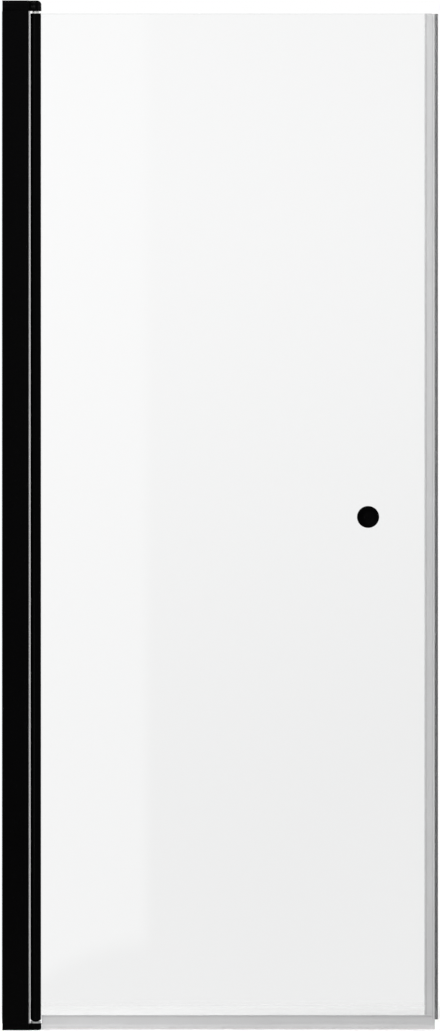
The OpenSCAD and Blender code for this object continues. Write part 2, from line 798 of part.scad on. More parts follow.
module knob_grub_screw() {
    inset = 1;
    grub_l = knob_neck_r - stud_r - inset;
    color("#b8bbbf") translate([knob_x, knob_y + waist_h, knob_z - stud_r - grub_l]) difference() {
        cylinder(h = grub_l, r = grub_r);
        translate([0, 0, -cut]) cylinder(h = grub_l / 3 + cut, r = grub_r / 2, $fn = 6);
    }
}

module knob_stud() {
    color("#b8bbbf") translate([knob_x, 0, knob_z]) rod_y(stud_r, -knob_y - stud_reach, knob_y + stud_reach);
}

module knob_sleeve() {
    color("#e4e5e6") translate([knob_x, 0, knob_z]) difference() {
        rod_y(glass_hole_r - 2 * fit_gap, fit_gap - glass_half, glass_half - fit_gap);
        rod_y(stud_r + 2 * fit_gap, -glass_t, glass_t);
    }
}

module knob_washers() {
    color("#e4e5e6") for (y = [-knob_y, glass_half]) translate([knob_x, y, knob_z]) difference() {
        rod_y(washer_r, 0, washer_t);
        rod_y(stud_r + 2 * fit_gap, -cut, washer_t + cut);
    }
}

module strike_seal() {
    web_x = glass_x1 + web_gap;
    box_wall = 0.8;
    color("#d3d6d8", 0.6) {
        translate([0, 0, strike_z0]) linear_extrude(height = seal_top - strike_z0) {
            rect([web_x, -leg_y1], [web_x + strike_web_t, leg_y1]);
            for (s = [-1, 1])
                rect([web_x, min(s * leg_y1, s * (leg_y1 - box_wall))],
                     [pocket_x0 + pocket_wall, max(s * leg_y1, s * (leg_y1 - box_wall))]);
            difference() {
                rect([pocket_x0, -pocket_half], [strike_x, pocket_half]);
                rect([pocket_x0 + pocket_wall, pocket_wall - pocket_half],
                     [strike_x - pocket_wall, pocket_half - pocket_wall]);
            }
        }
        translate([0, 0, sweep_top + slide_gap])
            linear_extrude(height = seal_top - sweep_top - slide_gap)
                for (s = [-1, 1])
                    rect([glass_x1 - strike_leg, min(s * leg_y0, s * leg_y1)],
                         [web_x + strike_web_t / 2, max(s * leg_y0, s * leg_y1)]);
    }
}

module magnet_strip() {
    skin = pocket_wall + fit_gap;
    color("#55575a")
        block([pocket_x0 + skin, skin - pocket_half, strike_z0 + slide_gap],
              [strike_x - skin, pocket_half - skin, seal_top - slide_gap]);
}

// Profile of the sweep across the door: Y along X, height along Y
module sweep_profile() {
    lip_top = sweep_clear + lip_h;
    lip_t = 0.6;
    lip_in = 0.3;
    fall = 9;
    rect([-leg_y1, lip_top], [-leg_y0, sweep_top]);
    rect([leg_y0, web_bottom], [leg_y1, sweep_top]);
    rect([-leg_y1, web_bottom], [leg_y1, web_top]);
    rect([lip_in - leg_y1, sweep_clear], [lip_in + lip_t - leg_y1, lip_top + seal_t]);
    polygon([[leg_y1 - seal_t, web_bottom], [leg_y1, web_bottom + seal_t],
             [leg_y1 + deflector_w, web_bottom + seal_t - fall],
             [leg_y1 + deflector_w - seal_t, web_bottom - fall]]);
}

// Length of sweep along X
module sweep_run(x0, x1) {
    translate([x0, 0, 0]) rotate([90, 0, 90]) linear_extrude(height = x1 - x0) children();
}

module bottom_sweep() {
    color("#d3d6d8", 0.6) {
        sweep_run(sweep_x0, glass_x1) sweep_profile();
        sweep_run(glass_x1 - cut, sweep_x1) intersection() {
            sweep_profile();
            rect([-post_w, 0], [post_w, sweep_end_z]);
        }
    }
}

wall_channel();
hinge_post();
hinge_gasket();
lock_screws();
lock_nuts();
screw_caps();
top_bracket();
top_cover();
bottom_bracket();
arm_screws();
top_bush();
top_pin();
bottom_pin();
lift_cam();
cam_follower();
door_stile();
top_plug();
bottom_plug();
plug_screws();
glass_panel();
glazing_gasket();
setting_block();
knob_outer();
knob_inner();
knob_stud();
knob_sleeve();
knob_washers();
knob_grub_screw();
strike_seal();
magnet_strip();
bottom_sweep();
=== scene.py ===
"""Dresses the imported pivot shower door: seals, screws, knobs, finishes, studio and camera.

Sizes are in millimetres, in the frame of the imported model, and become metres where a mesh is made.
The studio, the camera and the small lengths inside the finishes are in metres.
"""

from __future__ import annotations

import json
import logging
import math
from collections.abc import Sequence
from dataclasses import asdict, dataclass, field
from enum import Enum

import bmesh
import bpy
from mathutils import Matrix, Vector

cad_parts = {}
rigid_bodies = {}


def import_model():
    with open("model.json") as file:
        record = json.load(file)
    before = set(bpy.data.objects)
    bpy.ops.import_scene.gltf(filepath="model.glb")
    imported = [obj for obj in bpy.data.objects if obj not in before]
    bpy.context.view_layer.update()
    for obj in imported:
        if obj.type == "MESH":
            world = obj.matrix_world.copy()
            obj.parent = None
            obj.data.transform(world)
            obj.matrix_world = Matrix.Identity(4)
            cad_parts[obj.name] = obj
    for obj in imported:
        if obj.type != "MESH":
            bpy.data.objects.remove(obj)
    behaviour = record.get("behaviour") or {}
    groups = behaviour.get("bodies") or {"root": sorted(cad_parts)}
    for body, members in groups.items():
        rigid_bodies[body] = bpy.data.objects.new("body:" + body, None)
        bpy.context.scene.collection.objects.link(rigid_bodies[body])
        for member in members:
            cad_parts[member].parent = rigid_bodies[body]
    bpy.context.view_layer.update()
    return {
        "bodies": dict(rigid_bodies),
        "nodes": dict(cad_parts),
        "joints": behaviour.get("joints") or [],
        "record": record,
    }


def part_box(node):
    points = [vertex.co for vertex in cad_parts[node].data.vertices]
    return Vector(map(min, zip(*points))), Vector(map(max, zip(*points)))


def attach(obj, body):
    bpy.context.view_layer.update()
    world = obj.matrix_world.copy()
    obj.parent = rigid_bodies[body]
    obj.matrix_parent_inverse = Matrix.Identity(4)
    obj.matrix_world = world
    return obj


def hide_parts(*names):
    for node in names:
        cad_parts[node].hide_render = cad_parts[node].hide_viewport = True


MM = 0.001
X, Y, Z = 0, 1, 2
LOW, HIGH = 0, 1
LOG = logging.getLogger("shower_door")

WELD = 0.000001  # points nearer than this, in metres, become one
SMOOTH_ANGLE = 35.0  # edges bent by more than this many degrees stay sharp
MIDDLE = (0.3, 0.7)  # range that holds most values of a noise
FINE, ROUGH = 2.0, 3.0  # details of a noise
HEAD_SIDES, SOCKET_SIDES, SHANK_SIDES, CAP_SIDES = 32, 6, 24, 48
WHITE, BLACK = (1.0, 1.0, 1.0), (0.0, 0.0, 0.0)

Point = tuple[float, float]
Triple = tuple[float, float, float]
Seat = tuple[Triple, Triple]
Node = bpy.types.Node
Socket = bpy.types.NodeSocket
Material = bpy.types.Material
Piece = bpy.types.Object


class Slot(Enum):
    """Material slots of the record."""

    BLACK_COAT = "black_coat"
    BLACK_PLASTIC = "black_plastic"
    KNOB_BLACK = "knob_black"
    PIN_STEEL = "pin_steel"
    SCREW_STEEL = "screw_steel"
    GREY_PLASTIC = "grey_plastic"
    WHITE_PLASTIC = "white_plastic"
    CLEAR_GLASS = "clear_glass"
    GASKET = "gasket"
    BLACK_RUBBER = "black_rubber"
    CLEAR_PVC = "clear_pvc"
    MAGNET = "magnet"


class Side(Enum):
    """Sides of the glass: the outside of the shower faces -Y."""

    OUTER = -1
    INNER = 1


def side_of(node: str, corner: int, axis: int) -> float:
    """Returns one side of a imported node's box, in millimetres."""
    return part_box(node)[corner][axis] / MM


def middle_of(node: str, axis: int) -> float:
    """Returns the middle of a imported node's box along an axis, in millimetres."""
    return (side_of(node, LOW, axis) + side_of(node, HIGH, axis)) / 2


def from_side(node: str, corner: int, axis: int) -> float:
    """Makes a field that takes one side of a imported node's box."""
    return field(default_factory=lambda: side_of(node, corner, axis))


def from_middle(node: str, axis: int) -> float:
    """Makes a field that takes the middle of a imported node's box."""
    return field(default_factory=lambda: middle_of(node, axis))


# Node trees


class Board:
    """Adds nodes to one node tree and joins them up."""

    def __init__(self, tree: bpy.types.NodeTree) -> None:
        """Takes the tree to work on."""
        self.tree = tree

    def feed(self, node: Node, feeds: dict[str | int, object]) -> None:
        """Links a node's inputs to sockets, or sets them to plain values.

        Args:
            node: the node.
            feeds: socket or value for each input, by the input's name or number.
        """
        for key, source in feeds.items():
            if isinstance(source, Socket):
                self.tree.links.new(source, node.inputs[key])
            else:
                node.inputs[key].default_value = source

    def add(self, kind: str, feeds: dict[str | int, object] | None = None, **settings: object) -> Node:
        """Adds a node.

        Args:
            kind: Blender's type name of the node.
            feeds: socket or value for each input, by the input's name or number.
            **settings: values of the node's own properties.

        Returns:
            The new node.
        """
        node = self.tree.nodes.new(kind)
        for name, value in settings.items():
            setattr(node, name, value)
        self.feed(node, feeds or {})
        return node

    def math(self, operation: str, a: object, b: object = 0.0) -> Socket:
        """Adds a math node on two values or sockets and returns its result."""
        return self.add("ShaderNodeMath", {0: a, 1: b}, operation=operation).outputs[0]

    def product(self, first: object, *others: object) -> Socket:
        """Multiplies values or sockets in turn.

        Args:
            first: first value or socket.
            *others: the ones to multiply it by.

        Returns:
            The socket with the product.
        """
        for other in others:
            first = self.math("MULTIPLY", first, other)
        return first

    def weigh(self, share: float, a: Socket, b: Socket) -> Socket:
        """Adds a share of one socket to the rest of another and returns the sum."""
        return self.math("ADD", self.math("MULTIPLY", a, share), self.math("MULTIPLY", b, 1.0 - share))

    def vector(self, operation: str, a: object, b: object = BLACK) -> Socket:
        """Adds a vector math node on two vectors.

        Args:
            operation: Blender's name of the operation.
            a: first vector or socket.
            b: second vector or socket.

        Returns:
            The socket with the result: a number for a length or a dot product.
        """
        node = self.add("ShaderNodeVectorMath", {0: a, 1: b}, operation=operation)
        return node.outputs["Value" if operation in ("LENGTH", "DOT_PRODUCT") else "Vector"]

    def ramp(self, value: object, low: float, high: float, to_low: float = 0.0,
             to_high: float = 1.0) -> Socket:
        """Adds a smooth step from one value to another.

        Args:
            value: value or socket to read.
            low: value at which the step starts.
            high: value at which it ends.
            to_low: result before the step.
            to_high: result after it.

        Returns:
            The socket with the result.
        """
        feeds = {"Value": value, "From Min": low, "From Max": high, "To Min": to_low, "To Max": to_high}
        return self.add("ShaderNodeMapRange", feeds, interpolation_type="SMOOTHSTEP").outputs["Result"]

    def blend(self, share: Socket, a: object, b: object) -> Socket:
        """Mixes two colours by a share between 0 and 1 and returns the result."""
        return self.add("ShaderNodeMix", {"Factor": share, 6: a, 7: b}, data_type="RGBA").outputs[2]

    def place(self, kind: str = "Object") -> Socket:
        """Returns the place on the piece's own coordinates, or its own normal for "Normal"."""
        return self.add("ShaderNodeTexCoord").outputs[kind]

    def parts(self, vector: Socket) -> bpy.types.NodeOutputs:
        """Returns the X, Y and Z sockets of a vector."""
        return self.add("ShaderNodeSeparateXYZ", {0: vector}).outputs

    def noise(self, scale: object, detail: float = FINE, place: Socket | None = None) -> Socket:
        """Adds a noise.

        Args:
            scale: value or socket with its scale.
            detail: its detail.
            place: where it is read, if not on the piece's own coordinates.

        Returns:
            The socket with the noise, between 0 and 1.
        """
        feeds = {"Vector": place or self.place(), "Scale": scale, "Detail": detail}
        return self.add("ShaderNodeTexNoise", feeds).outputs["Fac"]

    def group(self, tree: bpy.types.NodeTree, **values: object) -> bpy.types.NodeOutputs:
        """Places a node group.

        Args:
            tree: the group.
            **values: values of its inputs, with underscores in their names read as spaces.

        Returns:
            The outputs of the group.
        """
        feeds = {name.replace("_", " "): value for name, value in values.items()}
        return self.add("ShaderNodeGroup", feeds, node_tree=tree).outputs


def colour(base: Triple, gain: float = 1.0, lift: float = 0.0) -> tuple[float, float, float, float]:
    """Returns a linear colour times a gain plus a lift, with full alpha."""
    return (*(min(1.0, gain * part + lift) for part in base), 1.0)


def new_group(name: str, inputs: dict[str, float | Triple],
              outputs: Sequence[str]) -> tuple[Board, Node, Node]:
    """Makes a shader node group with named sockets.

    Args:
        name: name of the group.
        inputs: default of each input, by name: a number or three numbers.
        outputs: name of each output, all of them numbers.

    Returns:
        The board of the group, its input node and its output node.
    """
    tree = bpy.data.node_groups.new(name, "ShaderNodeTree")
    for label, default in inputs.items():
        kind = "NodeSocketFloat" if isinstance(default, float) else "NodeSocketVector"
        tree.interface.new_socket(name=label, in_out="INPUT", socket_type=kind).default_value = default
    for label in outputs:
        tree.interface.new_socket(name=label, in_out="OUTPUT", socket_type="NodeSocketFloat")
    board = Board(tree)
    return board, board.add("NodeGroupInput"), board.add("NodeGroupOutput")


@dataclass
class Effects:
    """Shader groups that several finishes share."""

    line_step: Point = (0.35, 0.65)
    edge_step: Point = (0.985, 0.9)
    edge_samples: int = 4
    broken_step: Point = (0.42, 0.62)

    def __post_init__(self) -> None:
        """Builds each group once."""
        self.grain = self.build_grain()
        self.drawn = self.build_drawn()
        self.turned = self.build_turned()
        self.worn_edge = self.build_worn_edge()

    def build_grain(self) -> bpy.types.NodeTree:
        """Makes the even grain of a coat or a moulding, with slow patches of shade.

        Returns:
            The group.
        """
        board, given, result = new_group(
            "Fine grain", {"Scale": 900.0, "Patch Scale": 14.0}, ("Height", "Patch"))
        board.feed(result, {"Height": board.noise(given.outputs["Scale"]),
                            "Patch": board.noise(given.outputs["Patch Scale"], ROUGH)})
        return board.tree

    def build_drawn(self) -> bpy.types.NodeTree:
        """Makes the fine lines that a die leaves along an extrusion.

        Returns:
            The group.
        """
        board, given, result = new_group(
            "Drawn lines", {"Stretch": (1500.0, 1500.0, 2.0)}, ("Height", "Shade"))
        lines = board.noise(1.0, FINE, board.vector("MULTIPLY", board.place(), given.outputs["Stretch"]))
        board.feed(result, {"Height": lines, "Shade": board.ramp(lines, *self.line_step)})
        return board.tree

    def build_turned(self) -> bpy.types.NodeTree:
        """Makes the rings that a lathe leaves round an axis along Y.

        Returns:
            The group.
        """
        board, given, result = new_group("Turned rings", {"Centre": BLACK, "Pitch": 0.0004}, ("Height",))
        offset = board.vector("SUBTRACT", board.place(), given.outputs["Centre"])
        reach = board.vector("LENGTH", board.vector("MULTIPLY", offset, (1.0, 0.0, 1.0)))
        turns = board.math("DIVIDE", reach, given.outputs["Pitch"])
        wave = board.math("SINE", board.math("MULTIPLY", turns, math.tau))
        ring = board.add("ShaderNodeMath", {0: wave, 1: 0.5, 2: 0.5}, operation="MULTIPLY_ADD")
        board.feed(result, {"Height": ring.outputs[0]})
        return board.tree

    def build_worn_edge(self) -> bpy.types.NodeTree:
        """Makes a broken mask along the edges, where a finish rubs thin.

        Returns:
            The group.
        """
        board, given, result = new_group(
            "Worn edge", {"Amount": 0.3, "Scale": 60.0, "Width": 0.0005}, ("Mask",))
        rounded = board.add("ShaderNodeBevel", {"Radius": given.outputs["Width"]}, samples=self.edge_samples)
        flat = board.add("ShaderNodeNewGeometry")
        turn = board.vector("DOT_PRODUCT", rounded.outputs["Normal"], flat.outputs["Normal"])
        broken = board.ramp(board.noise(given.outputs["Scale"]), *self.broken_step)
        mask = board.product(board.ramp(turn, *self.edge_step), broken, given.outputs["Amount"])
        board.feed(result, {"Mask": mask})
        return board.tree


# Finishes


def new_material(name: str) -> tuple[Material, Board, Node]:
    """Makes a material with a Principled shader.

    Args:
        name: name of the material.

    Returns:
        The material, the board of its tree and the Principled node.
    """
    material = bpy.data.materials.new(name)
    material.use_nodes = True
    tree = material.node_tree
    return material, Board(tree), tree.nodes["Principled BSDF"]


def uneven(board: Board, mask: Socket, middle: float, below: float, above: float) -> Socket:
    """Returns a value that a mask moves below and above its middle."""
    return board.ramp(mask, *MIDDLE, middle - below, middle + above)


def add_relief(board: Board, shader: Node, height: Socket, depth: float) -> None:
    """Feeds a height through a Bump node into a shader's normal.

    Args:
        board: board of the material.
        shader: the shader that takes the normal.
        height: the height's socket, from 0 to 1.
        depth: real depth of the relief, in metres.
    """
    bump = board.add("ShaderNodeBump", {"Height": height, "Distance": depth, "Strength": 1.0})
    board.feed(shader, {"Normal": bump.outputs["Normal"]})


@dataclass(frozen=True)
class Coat:
    """Powder coat: fine orange peel in slow patches of shade, and edges that rub a little paler."""

    name: str
    base: Triple = (0.0012, 0.0012, 0.0013)
    roughness: float = 0.3
    specular: float = 0.02
    swing: float = 0.015
    swing_by: str = "Patch"
    grain_scale: float = 850.0
    patch_scale: float = 4.0
    patch_gain: float = 0.85
    depth: float = 0.00003
    rub_share: float = 0.35
    rub_scale: float = 90.0
    rub_gain: float = 4.0
    rub_lift: float = 0.0042

    def build(self, effects: Effects) -> Material:
        """Makes the material.

        Args:
            effects: the shared shader groups.

        Returns:
            The material.
        """
        material, board, shader = new_material(self.name)
        grain = board.group(effects.grain, Scale=self.grain_scale, Patch_Scale=self.patch_scale)
        edge = board.group(effects.worn_edge, Amount=self.rub_share, Scale=self.rub_scale)
        patched = board.blend(grain["Patch"], colour(self.base, self.patch_gain), colour(self.base))
        rubbed = colour(self.base, self.rub_gain, self.rub_lift)
        board.feed(shader, {
            "Base Color": board.blend(edge["Mask"], patched, rubbed),
            "Roughness": uneven(board, grain[self.swing_by], self.roughness, self.swing, self.swing),
            "Specular IOR Level": self.specular})
        add_relief(board, shader, self.relief(board, effects, grain["Height"]), self.depth)
        return material

    def relief(self, board: Board, effects: Effects, grain: Socket) -> Socket:
        """Returns the height of the surface: the grain alone."""
        return grain


@dataclass(frozen=True)
class MouldedPlastic(Coat):
    """Opaque moulded plastic with a spark-eroded grain."""

    roughness: float = 0.5
    specular: float = 0.5
    swing: float = 0.06
    swing_by: str = "Height"
    grain_scale: float = 1400.0
    patch_scale: float = 22.0
    rub_share: float = 0.25
    rub_scale: float = 140.0
    rub_gain: float = 1.2
    rub_lift: float = 0.005


@dataclass(frozen=True)
class TurnedBlack(Coat):
    """Satin black coat on a turned knob, with the lathe's rings just showing."""

    roughness: float = 0.26
    specular: float = 0.025
    swing: float = 0.02
    grain_scale: float = 1100.0
    patch_scale: float = 60.0
    depth: float = 0.000015
    rub_share: float = 0.3
    rub_scale: float = 200.0
    rub_gain: float = 5.0
    rub_lift: float = 0.006
    centre: Triple = BLACK
    pitch: float = 0.0005
    ring_share: float = 0.6

    def relief(self, board: Board, effects: Effects, grain: Socket) -> Socket:
        """Lays the lathe's rings over the grain.

        Args:
            board: board of the material.
            effects: the shared shader groups.
            grain: height of the grain.

        Returns:
            The height of the surface.
        """
        rings = board.group(effects.turned, Centre=tuple(MM * part for part in self.centre), Pitch=self.pitch)
        return board.weigh(self.ring_share, rings["Height"], grain)


@dataclass(frozen=True)
class WorkedSteel:
    """Stainless steel with fine tool lines along one direction."""

    name: str
    base: Triple
    roughness: float
    stretch: Triple
    smoother: float = 0.06
    rougher: float = 0.08
    line_gain: float = 0.8
    line_depth: float = 0.000006

    def build(self, effects: Effects) -> Material:
        """Makes the material.

        Args:
            effects: the shared shader groups.

        Returns:
            The material.
        """
        material, board, shader = new_material(self.name)
        lines = board.group(effects.drawn, Stretch=self.stretch)
        board.feed(shader, {
            "Base Color": board.blend(lines["Shade"], colour(self.base, self.line_gain), colour(self.base)),
            "Roughness": uneven(board, lines["Height"], self.roughness, self.smoother, self.rougher),
            "Metallic": 1.0})
        add_relief(board, shader, lines["Height"], self.line_depth)
        return material


@dataclass(frozen=True)
class ClearGlass:
    """Clear tempered glass: polished faces and frosted, slightly green ground edges."""

    name: str
    face: Triple = (0.882, 0.885, 0.885)
    edge: Triple = (0.74, 0.8, 0.78)
    edge_step: Point = (0.98, 0.9)
    edge_roughness: float = 0.3
    smoothest: float = 0.7
    grain_scale: float = 5000.0
    grain_depth: float = 0.0000012
    index: float = 1.5

    def build(self, effects: Effects) -> Material:
        """Makes the material, which tells faces from edges by the object's own normal.

        Args:
            effects: the shared shader groups.

        Returns:
            The material.
        """
        material, board, shader = new_material(self.name)
        across = board.math("ABSOLUTE", board.parts(board.place("Normal"))["Y"])
        edge = board.ramp(across, *self.edge_step)
        ground = board.group(effects.grain, Scale=self.grain_scale)["Height"]
        frost = board.ramp(ground, *MIDDLE, self.smoothest * self.edge_roughness, self.edge_roughness)
        board.feed(shader, {
            "Base Color": board.blend(edge, colour(self.face), colour(self.edge)),
            "Roughness": board.math("MULTIPLY", edge, frost),
            "IOR": self.index,
            "Transmission Weight": 1.0})
        add_relief(board, shader, board.math("MULTIPLY", edge, ground), self.grain_depth)
        return material


@dataclass(frozen=True)
class PaintedShadeBand:
    """Painted shade: a stripe across a profile, or a slow fade along it, that darkens the colour."""

    axis: str
    centre: float
    width: float
    shade: float
    full_share: float = 0.3

    def apply(self, board: Board, paint: Socket) -> Socket:
        """Paints shade into a colour along the stripe.

        Args:
            board: board of the material.
            paint: the colour to darken.

        Returns:
            The socket with the darker colour.
        """
        along = board.parts(board.place())[self.axis]
        offset = board.math("ABSOLUTE", board.math("SUBTRACT", along, self.centre * MM))
        stripe = board.ramp(offset, self.width * MM, self.full_share * self.width * MM, 0.0, 1.0 - self.shade)
        # painted shade: the colour is mixed towards black inside the stripe
        return board.blend(stripe, paint, colour(BLACK))


@dataclass(frozen=True)
class SoftExtrusion:
    """Translucent soft extrusion: part clear, part cloudy, with die lines along its run and bands of painted
    shade.
    """

    name: str
    base: Triple
    clear: float
    roughness: float
    stretch: Triple
    cloud: float = 0.94
    index: float = 1.45
    bands: tuple[PaintedShadeBand, ...] = ()
    patch_scale: float = 25.0
    smoother: float = 0.05
    rougher: float = 0.08
    line_depth: float = 0.00003

    def build(self, effects: Effects) -> Material:
        """Makes the material.

        Args:
            effects: the shared shader groups.

        Returns:
            The material.
        """
        material, board, shader = new_material(self.name)
        lines = board.group(effects.drawn, Stretch=self.stretch)
        clouds = board.group(effects.grain, Patch_Scale=self.patch_scale)
        shade = board.weigh(0.5, lines["Shade"], clouds["Patch"])
        paint = board.blend(shade, colour(self.base, self.cloud), colour(self.base))
        # painted shade: each band darkens the colour where shade falls on the profile
        for band in self.bands:
            paint = band.apply(board, paint)
        board.feed(shader, {
            "Base Color": paint,
            "Roughness": uneven(board, lines["Height"], self.roughness, self.smoother, self.rougher),
            "IOR": self.index,
            "Transmission Weight": self.clear})
        add_relief(board, shader, lines["Height"], self.line_depth)
        return material


@dataclass(frozen=True)
class SoftBlack:
    """Matte rubber with a fine, slightly dusty grain."""

    name: str
    base: Triple
    dusty: Triple
    roughness: float = 0.75
    swing: float = 0.08
    specular: float = 0.3
    grain_scale: float = 1600.0
    patch_scale: float = 35.0
    stretch: Triple = (2200.0, 2200.0, 3.0)
    depth: float = 0.00004

    def build(self, effects: Effects) -> Material:
        """Makes the material.

        Args:
            effects: the shared shader groups.

        Returns:
            The material.
        """
        material, board, shader = new_material(self.name)
        grain = board.group(effects.grain, Scale=self.grain_scale, Patch_Scale=self.patch_scale)
        lines = board.group(effects.drawn, Stretch=self.stretch)
        board.feed(shader, {
            "Base Color": board.blend(grain["Patch"], colour(self.base), colour(self.dusty)),
            "Roughness": uneven(board, grain["Height"], self.roughness, self.swing, self.swing),
            "Specular IOR Level": self.specular})
        add_relief(board, shader, board.weigh(0.5, grain["Height"], lines["Height"]), self.depth)
        return material


# Shapes


def arc(centre: Point, radius: float, start: float, end: float, steps: int) -> list[Point]:
    """Points on an arc.

    Args:
        centre: centre of the arc.
        radius: its radius.
        start: angle of the first point, in degrees.
        end: angle of the last point, in degrees.
        steps: number of steps between them.

    Returns:
        The points, both ends included.
    """
    angles = (math.radians(start + (end - start) * i / steps) for i in range(steps + 1))
    return [(centre[0] + radius * math.cos(a), centre[1] + radius * math.sin(a)) for a in angles]


def soften_corners(corners: Sequence[Triple], steps: int = 5) -> list[Point]:
    """Rounds the corners of a closed outline.

    Args:
        corners: x, y and radius of each corner in order; radius 0 keeps it sharp.
        steps: number of steps on each round corner.

    Returns:
        The points of the outline.
    """
    outline: list[Point] = []
    for i, (x, y, radius) in enumerate(corners):
        if radius <= 0:
            outline.append((x, y))
            continue
        here = Vector((x, y))
        before = (Vector(corners[i - 1][:2]) - here).normalized()
        after = (Vector(corners[(i + 1) % len(corners)][:2]) - here).normalized()
        half = before.angle(after) / 2
        reach = radius / math.tan(half)
        centre = here + (before + after).normalized() * (radius / math.sin(half))
        first, last = here + before * reach - centre, here + after * reach - centre
        turn = first.angle_signed(last)
        for k in range(steps + 1):
            angle = -turn * k / steps
            c, s = math.cos(angle), math.sin(angle)
            outline.append((centre.x + first.x * c - first.y * s, centre.y + first.x * s + first.y * c))
    return outline


def mirrored(half: Sequence[Triple]) -> list[Point]:
    """Returns a closed outline with round corners from the corners of its half on the +Y side."""
    return soften_corners([*half, *[(x, -y, radius) for x, y, radius in reversed(half)]])


def add_object(name: str, data: bpy.types.ID) -> Piece:
    """Adds an object to the scene.

    Args:
        name: name of the object.
        data: its mesh, lamp or camera.

    Returns:
        The object.
    """
    piece = bpy.data.objects.new(name, data)
    bpy.context.scene.collection.objects.link(piece)
    return piece


def outline_object(name: str, loops: Sequence[Sequence[Point]]) -> Piece:
    """Makes an object whose mesh is closed outlines of edges in the XY plane.

    Args:
        name: name of the object.
        loops: the outlines, in millimetres: the outside first, then any holes.

    Returns:
        The object.
    """
    places: list[Triple] = []
    edges: list[tuple[int, int]] = []
    for loop in loops:
        first = len(places)
        places += [(x * MM, y * MM, 0.0) for x, y in loop]
        edges += [(first + i, first + (i + 1) % len(loop)) for i in range(len(loop))]
    mesh = bpy.data.meshes.new(name)
    mesh.from_pydata(places, edges, [])
    return add_object(name, mesh)


def points_object(name: str, seats: Sequence[Seat]) -> Piece:
    """Makes an object of loose points that know which way is up.

    Args:
        name: name of the object.
        seats: place in millimetres and upward direction of each point.

    Returns:
        The object.
    """
    mesh = bpy.data.meshes.new(name)
    mesh.from_pydata([tuple(MM * part for part in place) for place, _ in seats], [], [])
    up = mesh.attributes.new("up", "FLOAT_VECTOR", "POINT")
    up.data.foreach_set("vector", [part for _, direction in seats for part in direction])
    return add_object(name, mesh)


def end_seats(node: str, head_radius: float, head_height: float) -> list[Seat]:
    """Places four screws that point inwards from both ends of an upright part.

    Args:
        node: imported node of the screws, whose box gives their places and their outer faces.
        head_radius: radius of their heads.
        head_height: height of their heads.

    Returns:
        Seat and upward direction of each screw.
    """
    x, y = middle_of(node, X), side_of(node, HIGH, Y) - head_radius
    ends = ((side_of(node, HIGH, Z) - head_height, 1.0), (side_of(node, LOW, Z) + head_height, -1.0))
    return [((x, side.value * y, z), (0.0, 0.0, up)) for side in Side for z, up in ends]


def smooth_by_angle(mesh: bpy.types.Mesh) -> None:
    """Shades a mesh smooth, with its sharply bent edges kept sharp.

    Args:
        mesh: the mesh.
    """
    mesh.polygons.foreach_set("use_smooth", [True] * len(mesh.polygons))
    mesh.set_sharp_from_angle(angle=math.radians(SMOOTH_ANGLE))
    mesh.update()


def settle(piece: Piece) -> None:
    """Turns what a piece's modifiers make into its own plain mesh.

    Args:
        piece: the object, with live modifiers.
    """
    graph = bpy.context.evaluated_depsgraph_get()
    mesh = bpy.data.meshes.new_from_object(
        piece.evaluated_get(graph), preserve_all_data_layers=True, depsgraph=graph)
    piece.modifiers.clear()
    old, piece.data = piece.data, mesh
    bpy.data.meshes.remove(old)
    mesh.name = piece.name
    smooth_by_angle(mesh)


# Geometry trees


def new_tree(name: str, lengths: dict[str, float],
             vectors: Sequence[str] = ()) -> tuple[Board, Node, dict[str, str]]:
    """Makes a Geometry Nodes tree with named inputs and one for the finish.

    Args:
        name: name of the tree.
        lengths: default of each length, by name.
        vectors: name of each input that is a vector.

    Returns:
        The board of the tree, its input node and the identifier of each input by name.
    """
    tree = bpy.data.node_groups.new(name, "GeometryNodeTree")
    for way in ("INPUT", "OUTPUT"):
        tree.interface.new_socket(name="Geometry", in_out=way, socket_type="NodeSocketGeometry")
    names: dict[str, str] = {}
    kinds = {**dict.fromkeys(lengths, "Float"), **dict.fromkeys(vectors, "Vector"), "Finish": "Material"}
    for label, kind in kinds.items():
        socket = tree.interface.new_socket(name=label, in_out="INPUT", socket_type=f"NodeSocket{kind}")
        if label in lengths:
            socket.default_value = lengths[label]
        names[label] = socket.identifier
    board = Board(tree)
    return board, board.add("NodeGroupInput"), names


def join(board: Board, *shapes: Socket) -> Socket:
    """Joins shapes of a geometry tree.

    Args:
        board: board of the tree.
        *shapes: the shapes.

    Returns:
        The socket with all of them.
    """
    whole = board.add("GeometryNodeJoinGeometry")
    for shape in shapes:
        board.feed(whole, {0: shape})
    return whole.outputs[0]


def fuse(board: Board, *shapes: Socket) -> Socket:
    """Fuses shapes of a geometry tree into one solid.

    Args:
        board: board of the tree.
        *shapes: the shapes.

    Returns:
        The socket with the solid.
    """
    solid = board.add("GeometryNodeMeshBoolean", operation="UNION", solver="EXACT")
    for shape in shapes:
        board.feed(solid, {"Mesh 2": shape})
    return solid.outputs["Mesh"]


def cut(board: Board, shape: Socket, tool: Socket) -> Socket:
    """Cuts one shape of a geometry tree out of another.

    Args:
        board: board of the tree.
        shape: the shape to cut.
        tool: the shape to take away.

    Returns:
        The socket with what is left.
    """
    rest = board.add("GeometryNodeMeshBoolean", operation="DIFFERENCE", solver="EXACT")
    board.feed(rest, {"Mesh 1": shape, "Mesh 2": tool})
    return rest.outputs["Mesh"]


def lifted(board: Board, shape: Socket, height: object) -> Socket:
    """Moves a shape of a geometry tree up by a height and returns it."""
    lift = board.add("ShaderNodeCombineXYZ", {"Z": height})
    return board.add("GeometryNodeTransform", {"Geometry": shape, "Translation": lift.outputs[0]}).outputs[0]


